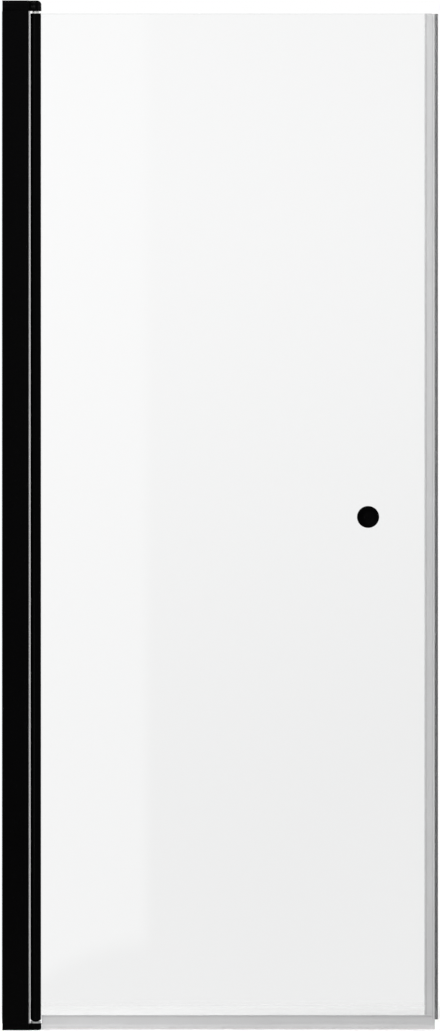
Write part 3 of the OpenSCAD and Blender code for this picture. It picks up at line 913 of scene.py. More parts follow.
def add_bar(board: Board, radius: object, length: object, low: object, sides: int) -> Socket:
    """Adds an upright bar to a geometry tree.

    Args:
        board: board of the tree.
        radius: radius of the bar.
        length: its length.
        low: height of its lower end.
        sides: number of its sides.

    Returns:
        The socket with the bar.
    """
    bar = board.add("GeometryNodeMeshCylinder", {"Vertices": sides, "Radius": radius, "Depth": length})
    return lifted(board, bar.outputs["Mesh"], board.math("ADD", low, board.math("MULTIPLY", length, 0.5)))


def add_taper(board: Board, wide: object, narrow: object, length: object, low: object, sides: int) -> Socket:
    """Adds an upright tapered bar to a geometry tree, with its wide end down.

    Args:
        board: board of the tree.
        wide: radius at the lower end.
        narrow: radius at the upper end.
        length: length of the bar.
        low: height of its lower end.
        sides: number of its sides.

    Returns:
        The socket with the bar.
    """
    cone = board.add("GeometryNodeMeshCone", {
        "Vertices": sides, "Radius Top": narrow, "Radius Bottom": wide, "Depth": length})
    return lifted(board, cone.outputs["Mesh"], low)


def stand_on_points(board: Board, given: Node, shape: Socket) -> Socket:
    """Places a shape on each point of the piece's own mesh, with its top along the point's attribute "up".

    Args:
        board: board of the tree.
        given: input node of the tree.
        shape: the shape to place.

    Returns:
        The socket with the instances.
    """
    up = board.add("GeometryNodeInputNamedAttribute", {"Name": "up"}, data_type="FLOAT_VECTOR")
    aim = board.add("FunctionNodeAlignRotationToVector", {"Vector": up.outputs["Attribute"]}, axis="Z")
    placed = board.add("GeometryNodeInstanceOnPoints", {
        "Points": given.outputs["Geometry"], "Instance": shape, "Rotation": aim.outputs["Rotation"]})
    return placed.outputs["Instances"]


def finish_tree(board: Board, given: Node, shape: Socket) -> None:
    """Ends a tree in Realize Instances, Set Material with the Finish input, and the output.

    Args:
        board: board of the tree.
        given: input node of the tree.
        shape: the shape to put out.
    """
    real = board.add("GeometryNodeRealizeInstances", {"Geometry": shape})
    dressed = board.add("GeometryNodeSetMaterial", {
        "Geometry": real.outputs["Geometry"], "Material": given.outputs["Finish"]})
    board.add("NodeGroupOutput", {0: dressed.outputs["Geometry"]})


@dataclass(frozen=True)
class Rule:
    """A Geometry Nodes tree and the identifiers of its inputs."""

    tree: bpy.types.NodeTree
    names: dict[str, str]

    def apply(self, piece: Piece, **values: object) -> None:
        """Runs the tree on a piece and keeps the result as its plain mesh.

        Args:
            piece: object whose mesh the tree starts from.
            **values: values of the tree's inputs, named in small letters with underscores for spaces.
        """
        modifier = piece.modifiers.new(self.tree.name, "NODES")
        modifier.node_group = self.tree
        for name, value in values.items():
            modifier[self.names[name.replace("_", " ").title()]] = value
        settle(piece)


def build_extrusion() -> Rule:
    """Makes the tree that fills the outlines of a piece and runs them out along a straight line.

    Returns:
        The tree.
    """
    board, given, names = new_tree("Extrusion", {"Length": 1.0}, ("Turn", "Place"))
    curve = board.add("GeometryNodeMeshToCurve", {"Mesh": given.outputs["Geometry"]})
    fill = board.add("GeometryNodeFillCurve", {"Curve": curve.outputs["Curve"]}, mode="TRIANGLES")
    run = board.add("ShaderNodeCombineXYZ", {"Z": given.outputs["Length"]})
    body = board.add("GeometryNodeExtrudeMesh", {
        "Mesh": fill.outputs["Mesh"], "Offset": run.outputs[0], "Individual": False}, mode="FACES")
    start = board.add("GeometryNodeFlipFaces", {"Mesh": fill.outputs["Mesh"]})
    both = join(board, body.outputs["Mesh"], start.outputs["Mesh"])
    closed = board.add("GeometryNodeMergeByDistance", {"Geometry": both, "Distance": WELD})
    turned = board.add("GeometryNodeTransform", {
        "Geometry": closed.outputs["Geometry"], "Rotation": given.outputs["Turn"],
        "Translation": given.outputs["Place"]})
    finish_tree(board, given, turned.outputs["Geometry"])
    return Rule(board.tree, names)


@dataclass(frozen=True)
class Screw:
    """Sizes of a socket screw."""

    head_radius: float
    head_height: float
    socket_radius: float
    shank_radius: float
    shank_length: float


@dataclass(frozen=True)
class Cap:
    """Sizes of a domed cap with a hollow below."""

    radius: float
    height: float
    hollow_radius: float
    hollow_height: float


def build_screws(edge_share: float = 0.12, floor_share: float = 0.35, tip_share: float = 0.5,
                 tip_length: float = 1.2) -> Rule:
    """Makes the tree that stands a socket screw on each point, with its head's seat at the point.

    Args:
        edge_share: height of the head's slanted edge, as a share of the head's height.
        floor_share: height of the socket's floor, as a share of the head's height.
        tip_share: radius of the tip, as a share of the shank's.
        tip_length: length of the tip's own bar, as a share of its radius.

    Returns:
        The tree.
    """
    board, given, names = new_tree("Socket screws", {
        "Head Radius": 0.003, "Head Height": 0.003, "Socket Radius": 0.0015, "Shank Radius": 0.002,
        "Shank Length": 0.01})
    head_r, head_h, socket_r, shank_r, shank_l = given.outputs[1:6]
    straight = board.math("MULTIPLY", head_h, 1.0 - edge_share)
    edge = board.math("MULTIPLY", head_h, edge_share)
    upper_r = board.math("SUBTRACT", head_r, edge)
    solid = fuse(board, add_bar(board, head_r, straight, 0.0, HEAD_SIDES),
                 add_taper(board, head_r, upper_r, edge, straight, HEAD_SIDES))
    floor = board.math("MULTIPLY", head_h, floor_share)
    head = cut(board, solid, add_bar(board, socket_r, head_h, floor, SOCKET_SIDES))
    tip = board.math("MULTIPLY", shank_r, tip_share)
    low = board.math("SUBTRACT", 0.0, shank_l)
    length, start = board.math("SUBTRACT", shank_l, tip), board.math("ADD", low, tip)
    shank = add_bar(board, shank_r, length, start, SHANK_SIDES)
    point = add_bar(board, tip, board.math("MULTIPLY", tip, tip_length), low, SHANK_SIDES)
    finish_tree(board, given, stand_on_points(board, given, join(board, head, shank, point)))
    return Rule(board.tree, names)


def build_caps(dome: Sequence[Point] = ((0.72, 0.0), (0.16, 0.1), (0.12, 0.3))) -> Rule:
    """Makes the tree that stands a domed cap on each point.

    Args:
        dome: rise and inward step of each stage of the dome, as shares of its height.

    Returns:
        The tree.
    """
    board, given, names = new_tree("Domed caps", {
        "Radius": 0.005, "Height": 0.003, "Hollow Radius": 0.004, "Hollow Height": 0.0025})
    radius, height, hollow_r, hollow_h = given.outputs[1:5]
    stages: list[Socket] = []
    low: object = 0.0
    for rise, inward in dome:
        step = board.math("MULTIPLY", height, rise)
        narrow = board.math("SUBTRACT", radius, board.math("MULTIPLY", height, inward))
        stages.append(add_taper(board, radius, narrow, step, low, CAP_SIDES))
        radius, low = narrow, board.math("ADD", low, step)
    deep, under = board.math("MULTIPLY", hollow_h, 2.0), board.math("SUBTRACT", 0.0, hollow_h)
    cup = cut(board, fuse(board, *stages), add_bar(board, hollow_r, deep, under, CAP_SIDES))
    finish_tree(board, given, stand_on_points(board, given, cup))
    return Rule(board.tree, names)


# Workshop


@dataclass
class Workshop:
    """What every sub-assembly is made with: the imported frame, the trees and the finishes."""

    frame: dict
    die_lines: float = 1800.0
    along: float = 2.0

    def __post_init__(self) -> None:
        """Looks up the record and builds the trees and the finishes."""
        record = self.frame["record"]
        self.bodies = {node: body for body, nodes in record["behaviour"]["bodies"].items() for node in nodes}
        self.slots = {part["node"]: Slot(part["material_slot"]) for part in record["subparts"]}
        self.extrusion, self.screws, self.caps = build_extrusion(), build_screws(), build_caps()
        effects = Effects()
        self.materials = {slot: finish.build(effects) for slot, finish in self.hard_finishes().items()}
        clear = self.clear_finishes()
        self.sweep_finish, self.pocket_finish = (
            clear.pop(name).build(effects) for name in ("sweep", "pocket"))
        self.materials |= {slot: finish.build(effects) for slot, finish in clear.items()}

    def hard_finishes(self) -> dict[Slot, Coat | WorkedSteel | ClearGlass | SoftBlack]:
        """Lists the coats, plastics, steels, rubbers and the glass.

        Returns:
            The finish of each slot.
        """
        knob = (middle_of("knob_outer", X), 0.0, middle_of("knob_outer", Z))
        return {
            Slot.BLACK_COAT: Coat("Black powder coat"),
            Slot.BLACK_PLASTIC: MouldedPlastic("Black moulding", (0.0013, 0.0013, 0.0014), 0.38, 0.025),
            Slot.KNOB_BLACK: TurnedBlack("Black turned knob", centre=knob),
            Slot.PIN_STEEL: WorkedSteel("Ground steel", (0.78, 0.78, 0.79), 0.24, (60.0, 60.0, 9000.0)),
            Slot.SCREW_STEEL: WorkedSteel("Screw steel", (0.64, 0.64, 0.65), 0.34, (2500.0, 2500.0, 2500.0)),
            Slot.GREY_PLASTIC: MouldedPlastic("Grey acetal", (0.42, 0.425, 0.43), 0.42),
            Slot.WHITE_PLASTIC: MouldedPlastic("Natural nylon", (0.9, 0.9, 0.88), 0.4),
            Slot.CLEAR_GLASS: ClearGlass("Tempered glass"),
            Slot.BLACK_RUBBER: SoftBlack("Black rubber", (0.012, 0.012, 0.012), (0.024, 0.024, 0.024)),
            Slot.MAGNET: SoftBlack("Magnetic rubber", (0.075, 0.075, 0.078), (0.1, 0.1, 0.102), 0.65),
        }

    def clear_finishes(self) -> dict[Slot | str, SoftExtrusion]:
        """Lists the clear extrusions.

        Returns:
            The finish of each slot, or of a piece that has its own.
        """
        run_x = (self.along, self.die_lines, self.die_lines)
        run_z = (self.die_lines, self.die_lines, self.along)
        leg_end, glass_edge = side_of("strike_seal", LOW, X), side_of("glass_panel", HIGH, X)
        sweep_top, tray_gap = side_of("bottom_sweep", HIGH, Z), side_of("bottom_sweep", LOW, Z)
        return {
            Slot.GASKET: SoftExtrusion(
                "Clear soft bulb", (0.79, 0.79, 0.795), 0.93, 0.05, run_z, 0.97, 1.06,
                # painted shade: the bulb darkens slowly towards the bottom, and more near the floor
                bands=(PaintedShadeBand("Z", 0.0, 1800.0, 0.92), PaintedShadeBand("Z", 0.0, 160.0, 0.86))),
            Slot.CLEAR_PVC: SoftExtrusion(
                "Clear soft profile", (0.835, 0.835, 0.84), 0.52, 0.16, run_z,
                # painted shade: dark lines along the groove in each leg and at the web beside the glass edge,
                # and darker towards the bottom
                bands=(PaintedShadeBand("X", leg_end + 3.1, 1.8, 0.84), PaintedShadeBand("X", glass_edge + 1.2, 1.3, 0.8),
                       PaintedShadeBand("Z", 0.0, 300.0, 0.94))),
            "sweep": SoftExtrusion(
                "Clear sweep profile", (0.8, 0.8, 0.805), 0.5, 0.16, run_x,
                # painted shade: dark lines along the groove below the top and at the seam above the soft lip,
                # and darker towards the glass's far edge
                bands=(PaintedShadeBand("Z", sweep_top - 3.0, 2.0, 0.86),
                       PaintedShadeBand("Z", tray_gap + 3.9, 1.2, 0.92), PaintedShadeBand("X", glass_edge, 700.0, 0.94))),
            "pocket": SoftExtrusion(
                "Clear magnet pocket", (0.95, 0.95, 0.955), 0.96, 0.06, run_z, 0.98,
                # painted shade: the pocket darkens slowly towards the bottom
                bands=(PaintedShadeBand("Z", 0.0, 1800.0, 0.9),)),
        }

    def dress(self, *nodes: str) -> None:
        """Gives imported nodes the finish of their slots.

        Args:
            *nodes: names of the nodes.
        """
        for node in nodes:
            piece, slot = self.frame["nodes"][node], self.slots[node]
            piece.data.materials.clear()
            piece.data.materials.append(self.materials[slot])
            LOG.info("%s keeps its packed shape in %s", node, slot.value)

    def hand_over(self, piece: Piece, replaced: str, finish: Material | None = None) -> None:
        """Gives a finished mesh the body, the slot and the finish of the node that it stands for.

        Args:
            piece: the finished object, in place.
            replaced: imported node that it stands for.
            finish: finish other than the slot's own.
        """
        body, slot = self.bodies[replaced], self.slots[replaced]
        piece.data.materials.clear()
        piece.data.materials.append(finish or self.materials[slot])
        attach(piece, body)
        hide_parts(replaced)
        LOG.info("%s rides on %s in %s", piece.name, body, slot.value)

    def extrude(self, name: str, loops: Sequence[Sequence[Point]], start: float, end: float, replaced: str,
                along_x: bool = False, finish: Material | None = None) -> None:
        """Makes a piece by running outlines out along Z or X.

        Args:
            name: name of the piece.
            loops: outside and holes of the profile, as X and Y, or as Y and Z if it runs along X.
            start: where the run starts, in millimetres.
            end: where it ends.
            replaced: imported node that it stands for.
            along_x: run along X and not along Z.
            finish: finish other than the slot's own.
        """
        piece = outline_object(name, loops)
        turn = (math.pi / 2, 0.0, math.pi / 2) if along_x else (0.0, 0.0, 0.0)
        place = (start * MM, 0.0, 0.0) if along_x else (0.0, 0.0, start * MM)
        self.extrusion.apply(piece, length=(end - start) * MM, turn=turn, place=place,
                             finish=self.materials[self.slots[replaced]])
        self.hand_over(piece, replaced, finish)

    def stand(self, rule: Rule, name: str, seats: Sequence[Seat], sizes: Screw | Cap, replaced: str) -> None:
        """Makes a piece of equal screws or caps, one on each seat.

        Args:
            rule: tree that makes them.
            name: name of the piece.
            seats: place and upward direction of each.
            sizes: their sizes.
            replaced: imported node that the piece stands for.
        """
        piece = points_object(name, seats)
        lengths = {size: length * MM for size, length in asdict(sizes).items()}
        rule.apply(piece, **lengths, finish=self.materials[self.slots[replaced]])
        self.hand_over(piece, replaced)

    def bevel_node(self, node: str, width: float, flat_angle: float = 0.5, edge_angle: float = 40.0) -> None:
        """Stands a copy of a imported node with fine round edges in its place.

        Args:
            node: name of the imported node.
            width: width of the round edges, in millimetres.
            flat_angle: faces bent by less than this many degrees are joined first.
            edge_angle: edges bent by more than this many degrees are made round.
        """
        mesh = self.frame["nodes"][node].data.copy()
        cleaned = bmesh.new()
        cleaned.from_mesh(mesh)
        bmesh.ops.remove_doubles(cleaned, verts=cleaned.verts, dist=WELD)
        bmesh.ops.dissolve_limit(
            cleaned, angle_limit=math.radians(flat_angle), verts=cleaned.verts, edges=cleaned.edges)
        cleaned.to_mesh(mesh)
        cleaned.free()
        piece = add_object(node + "_shell", mesh)
        bevel = piece.modifiers.new("Fine edges", "BEVEL")
        bevel.width, bevel.segments = width * MM, 2
        bevel.limit_method, bevel.angle_limit = "ANGLE", math.radians(edge_angle)
        bevel.harden_normals = False
        settle(piece)
        self.hand_over(piece, node)


# Sub-assemblies


@dataclass
class Assembly:
    """What every sub-assembly has: the workshop that it is made with."""

    shop: Workshop


@dataclass
class WallPost(Assembly):
    """Wall channel and hinge post with the gasket, the lock screws and their caps."""

    right: float = from_side("hinge_post", HIGH, X)
    half: float = from_side("hinge_post", HIGH, Y)
    groove_lip: float = 1.2
    groove_depth: float = 1.9
    groove_width: float = 4.8
    mouth: float = 1.8
    play: float = 0.1
    barb_slope: float = 0.5
    barb_rounds: Point = (0.35, 0.4)
    bulb_radius: float = 1.15
    bulb_bore: float = 0.6
    bulb_steps: int = 28
    bore_steps: int = 24
    locks: int = 3
    lock_x: float = from_middle("lock_screws", X)
    screw: Screw = Screw(3.6, 2.2, 1.6, 2.0, 7.3)
    cap: Cap = Cap(5.2, 3.8, 3.9, 2.5)

    def build(self) -> None:
        """Builds and dresses the fixed uprights."""
        self.shop.dress("wall_channel", "hinge_post", "lock_nuts")
        self.build_gasket()
        self.build_locks()

    def build_gasket(self) -> None:
        """Makes the soft bulb in the groove of the post, with a barbed foot."""
        back = self.right - self.groove_lip - self.groove_depth + self.play
        front = self.right - self.groove_lip - self.play
        wide, neck = self.groove_width / 2 - self.play, self.mouth / 2 - self.play
        centre = (self.right + self.bulb_radius + self.play / 2, 0.0)
        cover = math.degrees(math.asin(neck / self.bulb_radius))
        bulb = arc(centre, self.bulb_radius, cover - 180, 180 - cover, self.bulb_steps)
        foot = mirrored([(front, neck, 0.0), (front, wide, self.barb_rounds[0]),
                         (back, wide - self.barb_slope, self.barb_rounds[1])])
        bore = arc(centre, self.bulb_bore, 0, 360, self.bore_steps)[:-1]
        self.shop.extrude("hinge_bulb", [foot + bulb, bore], side_of("hinge_gasket", LOW, Z),
                          side_of("hinge_gasket", HIGH, Z), "hinge_gasket")

    def build_locks(self) -> None:
        """Makes the lock screws and the domed caps over them."""
        first = side_of("lock_screws", LOW, Z) + self.screw.head_radius
        pitch = (side_of("lock_screws", HIGH, Z) - self.screw.head_radius - first) / (self.locks - 1)
        seats = [((self.lock_x, self.half, first + k * pitch), (0.0, 1.0, 0.0)) for k in range(self.locks)]
        self.shop.stand(self.shop.screws, "lock_screw_row", seats, self.screw, "lock_screws")
        self.shop.stand(self.shop.caps, "lock_cap_row", seats, self.cap, "screw_caps")


@dataclass
class Arms(Assembly):
    """Upper and lower arm with their screws."""

    screw: Screw = Screw(3.9, 3.4, 1.95, 2.05, 29.0)
    edge: float = 0.3

    def build(self) -> None:
        """Builds and dresses the arms."""
        for node in ("top_bracket", "top_cover", "bottom_bracket"):
            self.shop.bevel_node(node, self.edge)
        seats = end_seats("arm_screws", self.screw.head_radius, self.screw.head_height)
        self.shop.stand(self.shop.screws, "arm_screw_set", seats, self.screw, "arm_screws")


@dataclass
class Pivot(Assembly):
    """Pins, bush and the rising cam."""

    def build(self) -> None:
        """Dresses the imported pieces, whose shapes are right as they are."""
        self.shop.dress("top_bush", "top_pin", "bottom_pin", "lift_cam", "cam_follower")


@dataclass
class Stile(Assembly):
    """Pivot stile of the door with its end plugs, plug screws and the rubber that holds the glass."""

    screw: Screw = Screw(2.1, 1.6, 1.05, 1.05, 12.0)
    edge: float = 0.25
    block_edge: float = 0.3
    glass_half: float = from_side("glass_panel", HIGH, Y)
    rubber: float = 0.75
    play: float = 0.05
    block_gap: float = 0.5
    block_inset: float = 1.0
    outer_round: float = 0.3
    inner_round: float = 0.1

    def build(self) -> None:
        """Builds and dresses the stile."""
        self.shop.dress("door_stile")
        for node in ("top_plug", "bottom_plug"):
            self.shop.bevel_node(node, self.edge)
        seats = end_seats("plug_screws", self.screw.head_radius, self.screw.head_height)
        self.shop.stand(self.shop.screws, "plug_screw_set", seats, self.screw, "plug_screws")
        self.build_rubber()
        self.shop.bevel_node("setting_block", self.block_edge)

    def build_rubber(self) -> None:
        """Makes the glazing rubber, whose lips run on beside the end plugs."""
        node = "glazing_gasket"
        near, far = side_of(node, LOW, X), side_of(node, HIGH, X)
        low, high = side_of(node, LOW, Z), side_of(node, HIGH, Z)
        plug = side_of("setting_block", HIGH, Z) + self.block_gap - low
        inner = self.glass_half + self.play
        outer = inner + self.rubber - self.play
        wide, tight = self.outer_round, self.inner_round
        rim = [(far, inner, wide), (far, outer, wide)]
        half = [(near + self.rubber, inner, tight), *rim, (near, outer, wide)]
        self.shop.extrude("glazing_rubber", [mirrored(half)], low + plug, high - plug, node)
        root = side_of("setting_block", HIGH, X) + self.block_inset
        lip = [(root, inner, tight), *rim, (root, outer, tight)]
        for name, start, end in (("lower", low, low + plug), ("upper", high - plug, high)):
            for side in Side:
                turned = [(x, side.value * y, radius) for x, y, radius in lip][::side.value]
                piece = f"{name}_lip_{side.name.lower()}"
                self.shop.extrude(piece, [soften_corners(turned)], start, end, node)


@dataclass
class Pane(Assembly):
    """The sheet of tempered glass."""

    def build(self) -> None:
        """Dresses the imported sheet, whose ground edges and hole are right as they are."""
        self.shop.dress("glass_panel")


@dataclass
class Knobs(Assembly):
    """Turned knobs on both sides of the glass with their fixing."""

    x: float = from_middle("knob_outer", X)
    z: float = from_middle("knob_outer", Z)
    seat: float = from_side("knob_inner", LOW, Y)
    tip: float = from_side("knob_inner", HIGH, Y)
    side: float = from_side("knob_inner", HIGH, X)
    head: float = 14.0
    edge: float = 1.5
    edge_steps: int = 6
    neck: float = 8.5
    neck_steps: int = 20
    neck_share: float = 0.96
    base: float = 11.0
    base_depth: float = 3.0
    base_edge: float = 0.4
    bore: float = 3.05
    bore_depth: float = 16.5
    grub_radius: float = 2.05
    grub_sides: int = 32
    grub_drop: float = 0.5
    rim: float = 1.2
    rim_slope: float = 0.3
    dish: float = 0.35
    dish_share: float = 0.4
    steps: int = 96

    def build(self) -> None:
        """Builds the knobs and dresses what fixes them."""
        for side in Side:
            self.build_knob(side)
        self.shop.dress("knob_stud", "knob_sleeve", "knob_washers", "knob_grub_screw")

    @property
    def depth(self) -> float:
        """Length of a knob, from the washer to its face."""
        return self.tip - self.seat

    @property
    def back(self) -> float:
        """Distance from the washer to the back of a knob's head."""
        return self.depth - self.head

    @property
    def waist(self) -> float:
        """Distance from the washer to the narrowest part of a knob's neck."""
        return (self.base_depth + self.back) / 2

    def profile(self) -> list[Point]:
        """Draws half a knob's section.

        Returns:
            Radius and distance from the washer, from the bore to the face's centre.
        """
        reach, sag = self.waist - self.base_depth / 2, self.base - self.neck
        sweep = (reach * reach + sag * sag) / (2 * sag)
        half = self.neck_share * math.degrees(math.asin(reach / sweep))
        hollow = arc((self.neck + sweep, self.waist), sweep, 180 + half, 180 - half, self.neck_steps)
        corner, front = self.side - self.x - self.edge, self.depth - self.dish
        rim = [*arc((corner, self.back + self.edge), self.edge, -90, 0, self.edge_steps),
               *arc((corner, self.depth - self.edge), self.edge, 0, 90, self.edge_steps)]
        face = corner - self.rim
        return [(0.0, self.bore_depth), (self.bore, self.bore_depth), (self.bore, 0.0),
                (self.base - self.base_edge, 0.0), (self.base, self.base_edge), *hollow,
                (self.base, self.back), *rim, (face + self.rim_slope, self.depth),
                (face - self.rim_slope, front), (self.dish_share * face, front), (0.0, front)]

    def build_knob(self, side: Side) -> None:
        """Lathes one knob, with the hole for the grub screw in the inner one.

        Args:
            side: side of the glass that it sits on.
        """
        shape = bmesh.new()
        rings: list[list[bmesh.types.BMVert]] = []
        for radius, distance in self.profile():
            y = side.value * (self.seat + distance)
            count = self.steps if radius > 0 else 1
            rings.append([shape.verts.new((MM * (self.x + radius * math.cos(angle)), MM * y,
                                           MM * (self.z + radius * math.sin(angle))))
                          for angle in (math.tau * k / count for k in range(count))])
        for first, second in zip(rings, rings[1:]):
            for k in range(self.steps):
                a, b = first[k % len(first)], first[(k + 1) % len(first)]
                c, d = second[(k + 1) % len(second)], second[k % len(second)]
                shape.faces.new(list(dict.fromkeys((a, b, c, d))))
        bmesh.ops.recalc_face_normals(shape, faces=shape.faces)
        mesh = bpy.data.meshes.new(f"turned_knob_{side.name.lower()}")
        shape.to_mesh(mesh)
        shape.free()
        piece = add_object(mesh.name, mesh)
        if side is Side.INNER:
            self.drill(piece)
        smooth_by_angle(piece.data)
        self.shop.hand_over(piece, f"knob_{side.name.lower()}")

    def drill(self, piece: Piece) -> None:
        """Cuts the grub screw's hole into the underside of a knob's neck.

        Args:
            piece: the knob.
        """
        below = self.z - self.base / 2 - self.grub_drop
        bpy.ops.mesh.primitive_cylinder_add(
            vertices=self.grub_sides, radius=self.grub_radius * MM, depth=self.base * MM,
            location=(self.x * MM, (self.seat + self.waist) * MM, below * MM))
        drill = bpy.context.active_object
        hole = piece.modifiers.new("Grub hole", "BOOLEAN")
        hole.object, hole.operation, hole.solver = drill, "DIFFERENCE", "EXACT"
        settle(piece)
        bpy.data.objects.remove(drill)


@dataclass
class Seals(Assembly):
    """Bottom sweep, strike seal and the magnet strip inside it.

    Each corner of a profile is given by its two places and the radius that rounds it.
    """

    glass_edge: float = from_side("glass_panel", HIGH, X)
    strike: float = from_side("strike_seal", HIGH, X)
    leg_in: float = 3.1
    leg_out: float = 4.1
    leg_start: float = from_side("strike_seal", LOW, X)
    web_gap: float = 0.2
    web_wall: float = 1.2
    wall_in: float = 3.3
    pocket_depth: float = 6.1
    pocket_half: float = from_side("strike_seal", HIGH, Y)
    pocket_wall: float = 0.5
    core_low: float = from_side("strike_seal", LOW, Z)
    high: float = from_side("strike_seal", HIGH, Z)
    magnet_play: float = 0.05
    magnet_round: float = 0.4
    sweep_start: float = from_side("bottom_sweep", LOW, X)
    sweep_end: float = from_side("bottom_sweep", HIGH, X)
    sweep_top: float = from_side("bottom_sweep", HIGH, Z)
    play: float = 0.3
    web_low: float = 18.3
    web_high: float = 19.8
    groove: Triple = (2.2, 3.2, 4.4)  # start, deepest line and end of the groove in a leg, from its end
    groove_depth: float = 0.22
    lip_low: float = from_side("bottom_sweep", LOW, Z)
    lip_height: float = 4.0
    drip_y: float = from_side("bottom_sweep", HIGH, Y)
    drip_z: float = 10.3
    joint: float = 0.02

    @property
    def web(self) -> Point:
        """Near and far side of the strike seal's web."""
        near = self.glass_edge + self.web_gap
        return near, near + self.web_wall

    @property
    def pocket(self) -> float:
        """Near side of the magnet pocket."""
        return self.strike - self.pocket_depth

    def build(self) -> None:
        """Builds the seals."""
        self.build_strike()
        self.build_magnet()
        self.build_sweep()

    def build_strike(self) -> None:
        """Makes the strike seal: legs, web and air chamber, their short foot over the sweep, and pocket."""
        (near, web), mouth = self.web, self.pocket - self.joint
        inner, outer, start = self.leg_in, self.leg_out, self.leg_start
        walls = [(web - 0.1, outer, 0.1), (web + 0.15, outer - 0.18, 0.1), (web + 0.4, outer, 0.1),
                 (mouth, outer, 0.05), (mouth, self.wall_in, 0.05), (web, self.wall_in, 0.5)]
        before, deepest, after = (start + reach for reach in self.groove)
        legs = [(near, inner, 0.3), (start + 1.6, inner, 0.4), (start, inner - 0.06, 0.45),
                (start, outer, 0.5), (before, outer, 0.4), (deepest, outer - self.groove_depth, 0.4),
                (after, outer, 0.4)]
        foot_top = self.sweep_top + self.play
        node = "strike_seal"
        self.shop.extrude("strike_profile", [mirrored([*legs, *walls])], foot_top, self.high, node)
        self.shop.extrude("strike_profile_foot", [mirrored([(near, outer, 0.3), *walls])],
                          self.core_low, foot_top - self.joint, node)
        half, inside = self.pocket_half, self.pocket_half - self.pocket_wall
        shell = [(self.pocket, outer - 0.05, 0.05), (self.pocket + 0.3, half, 0.1), (self.strike, half, 0.8)]
        room = [(self.pocket + self.pocket_wall, inside, 0.25), (self.strike - self.pocket_wall, inside, 0.3)]
        self.shop.extrude("magnet_pocket", [mirrored(shell), mirrored(room)], self.core_low, self.high, node,
                          finish=self.shop.pocket_finish)

    def build_magnet(self) -> None:
        """Makes the strip of magnetic rubber that fills the pocket."""
        node, inset, soft = "magnet_strip", self.pocket_wall + self.magnet_play, self.magnet_round
        near, far, half = self.pocket + inset, self.strike - inset, self.pocket_half - inset
        outline = mirrored([(far, half, soft), (near, half, soft)])
        self.shop.extrude("magnetic_strip", [outline], side_of(node, LOW, Z), side_of(node, HIGH, Z), node)

    def skirt(self) -> list[Triple]:
        """Draws the part of the sweep's profile below its web: deflector, skirt and soft lip.

        Returns:
            Y, Z and radius of its corners.
        """
        tip_y, tip_z, inner, outer = self.drip_y, self.drip_z, self.leg_in, self.leg_out
        low, seam = self.lip_low, self.lip_low + self.lip_height
        return [(tip_y - 2.6, tip_z + 2.6, 3.0), (tip_y, tip_z, 0.4), (tip_y - 1.0, tip_z - 1.0, 0.4),
                (tip_y - 3.8, tip_z + 2.2, 3.0), (inner, self.web_low, 0.8), (-inner, self.web_low, 0.8),
                (-inner, seam + 1.0, 0.4), (-inner - 0.15, seam - 0.4, 0.4), (-inner + 0.05, low, 0.2),
                (-inner - 0.4, low, 0.2), (-outer + 0.3, seam - 0.4, 0.4), (-outer, seam, 0.2)]

    def build_sweep(self) -> None:
        """Makes the bottom sweep, and its short end below the strike seal."""
        inner, outer, top = self.leg_in, self.leg_out, self.sweep_top
        before, deepest, after = (top - reach for reach in self.groove)
        whole = [(-outer, after, 0.4), (-outer + self.groove_depth, deepest, 0.4), (-outer, before, 0.4),
                 (-outer, top, 0.45), (-inner + 0.05, top, 0.45), (-inner, top - 1.6, 0.4),
                 (-inner, self.web_high, 0.4), (inner, self.web_high, 0.4), (inner, top - 1.6, 0.4),
                 (inner - 0.05, top, 0.45), (outer, top, 0.45), (outer, self.web_low + 1.0, 0.8),
                 *self.skirt()]
        ledge = self.core_low - self.play
        clipped = [(-outer, ledge, 0.2), (outer, ledge, 0.2), *self.skirt()]
        for name, corners, start, end in (
                ("sweep_profile", whole, self.sweep_start, self.glass_edge),
                ("sweep_profile_end", clipped, self.glass_edge + self.joint, self.sweep_end)):
            self.shop.extrude(name, [soften_corners(corners[::-1])], start, end, "bottom_sweep",
                              along_x=True, finish=self.shop.sweep_finish)


# Studio


def seen_directly(board: Board) -> Socket:
    """Tells the rays that see the studio from the ones that light the door.

    Args:
        board: board of the material or the world.

    Returns:
        The socket with 1 for camera, glossy and transmission rays and 0 for the others.
    """
    path = board.add("ShaderNodeLightPath")
    mirror = board.math("MAXIMUM", path.outputs["Is Glossy Ray"], path.outputs["Is Transmission Ray"])
    return board.math("MAXIMUM", path.outputs["Is Camera Ray"], mirror)


@dataclass(frozen=True)
class Floor:
    """Pale floor that keeps the door's shadow, with a painted pool of light round its middle, and fades into
    the white world at its rim.
    """

    radius: float = 2.0
    sides: int = 128
    grey: float = 0.82
    roughness: float = 0.9
    # strength and reach of the painted pool of light: emission that only directly seen rays meet
    lift: float = 0.22
    lift_reach: Point = (0.45, 1.1)
    fade_reach: Point = (0.95, 1.9)

    def build(self, middle: float) -> None:
        """Lays the floor.

        Args:
            middle: place of its middle along X.
        """
        material, board, shader = new_material("Studio floor")
        reach = board.vector("LENGTH", board.place())
        # painted pool of light: full glow near the middle, none beyond the end of its reach
        lift = board.ramp(reach, *self.lift_reach, self.lift, 0.0)
        board.feed(shader, {
            "Base Color": colour(WHITE, self.grey),
            "Roughness": self.roughness,
            "Specular IOR Level": 0.0,
            "Emission Color": colour(WHITE),
            "Emission Strength": board.math("MULTIPLY", seen_directly(board), lift)})
        clear = board.add("ShaderNodeBsdfTransparent")
        mixed = board.add("ShaderNodeMixShader", {
            "Fac": board.ramp(reach, *self.fade_reach), 1: shader.outputs["BSDF"], 2: clear.outputs["BSDF"]})
        board.feed(board.tree.nodes["Material Output"], {"Surface": mixed.outputs["Shader"]})
        bpy.ops.mesh.primitive_circle_add(
            vertices=self.sides, radius=self.radius, fill_type="NGON", location=(middle, 0.0, 0.0))
        floor = bpy.context.active_object
        floor.name = "studio_floor"
        floor.data.materials.append(material)


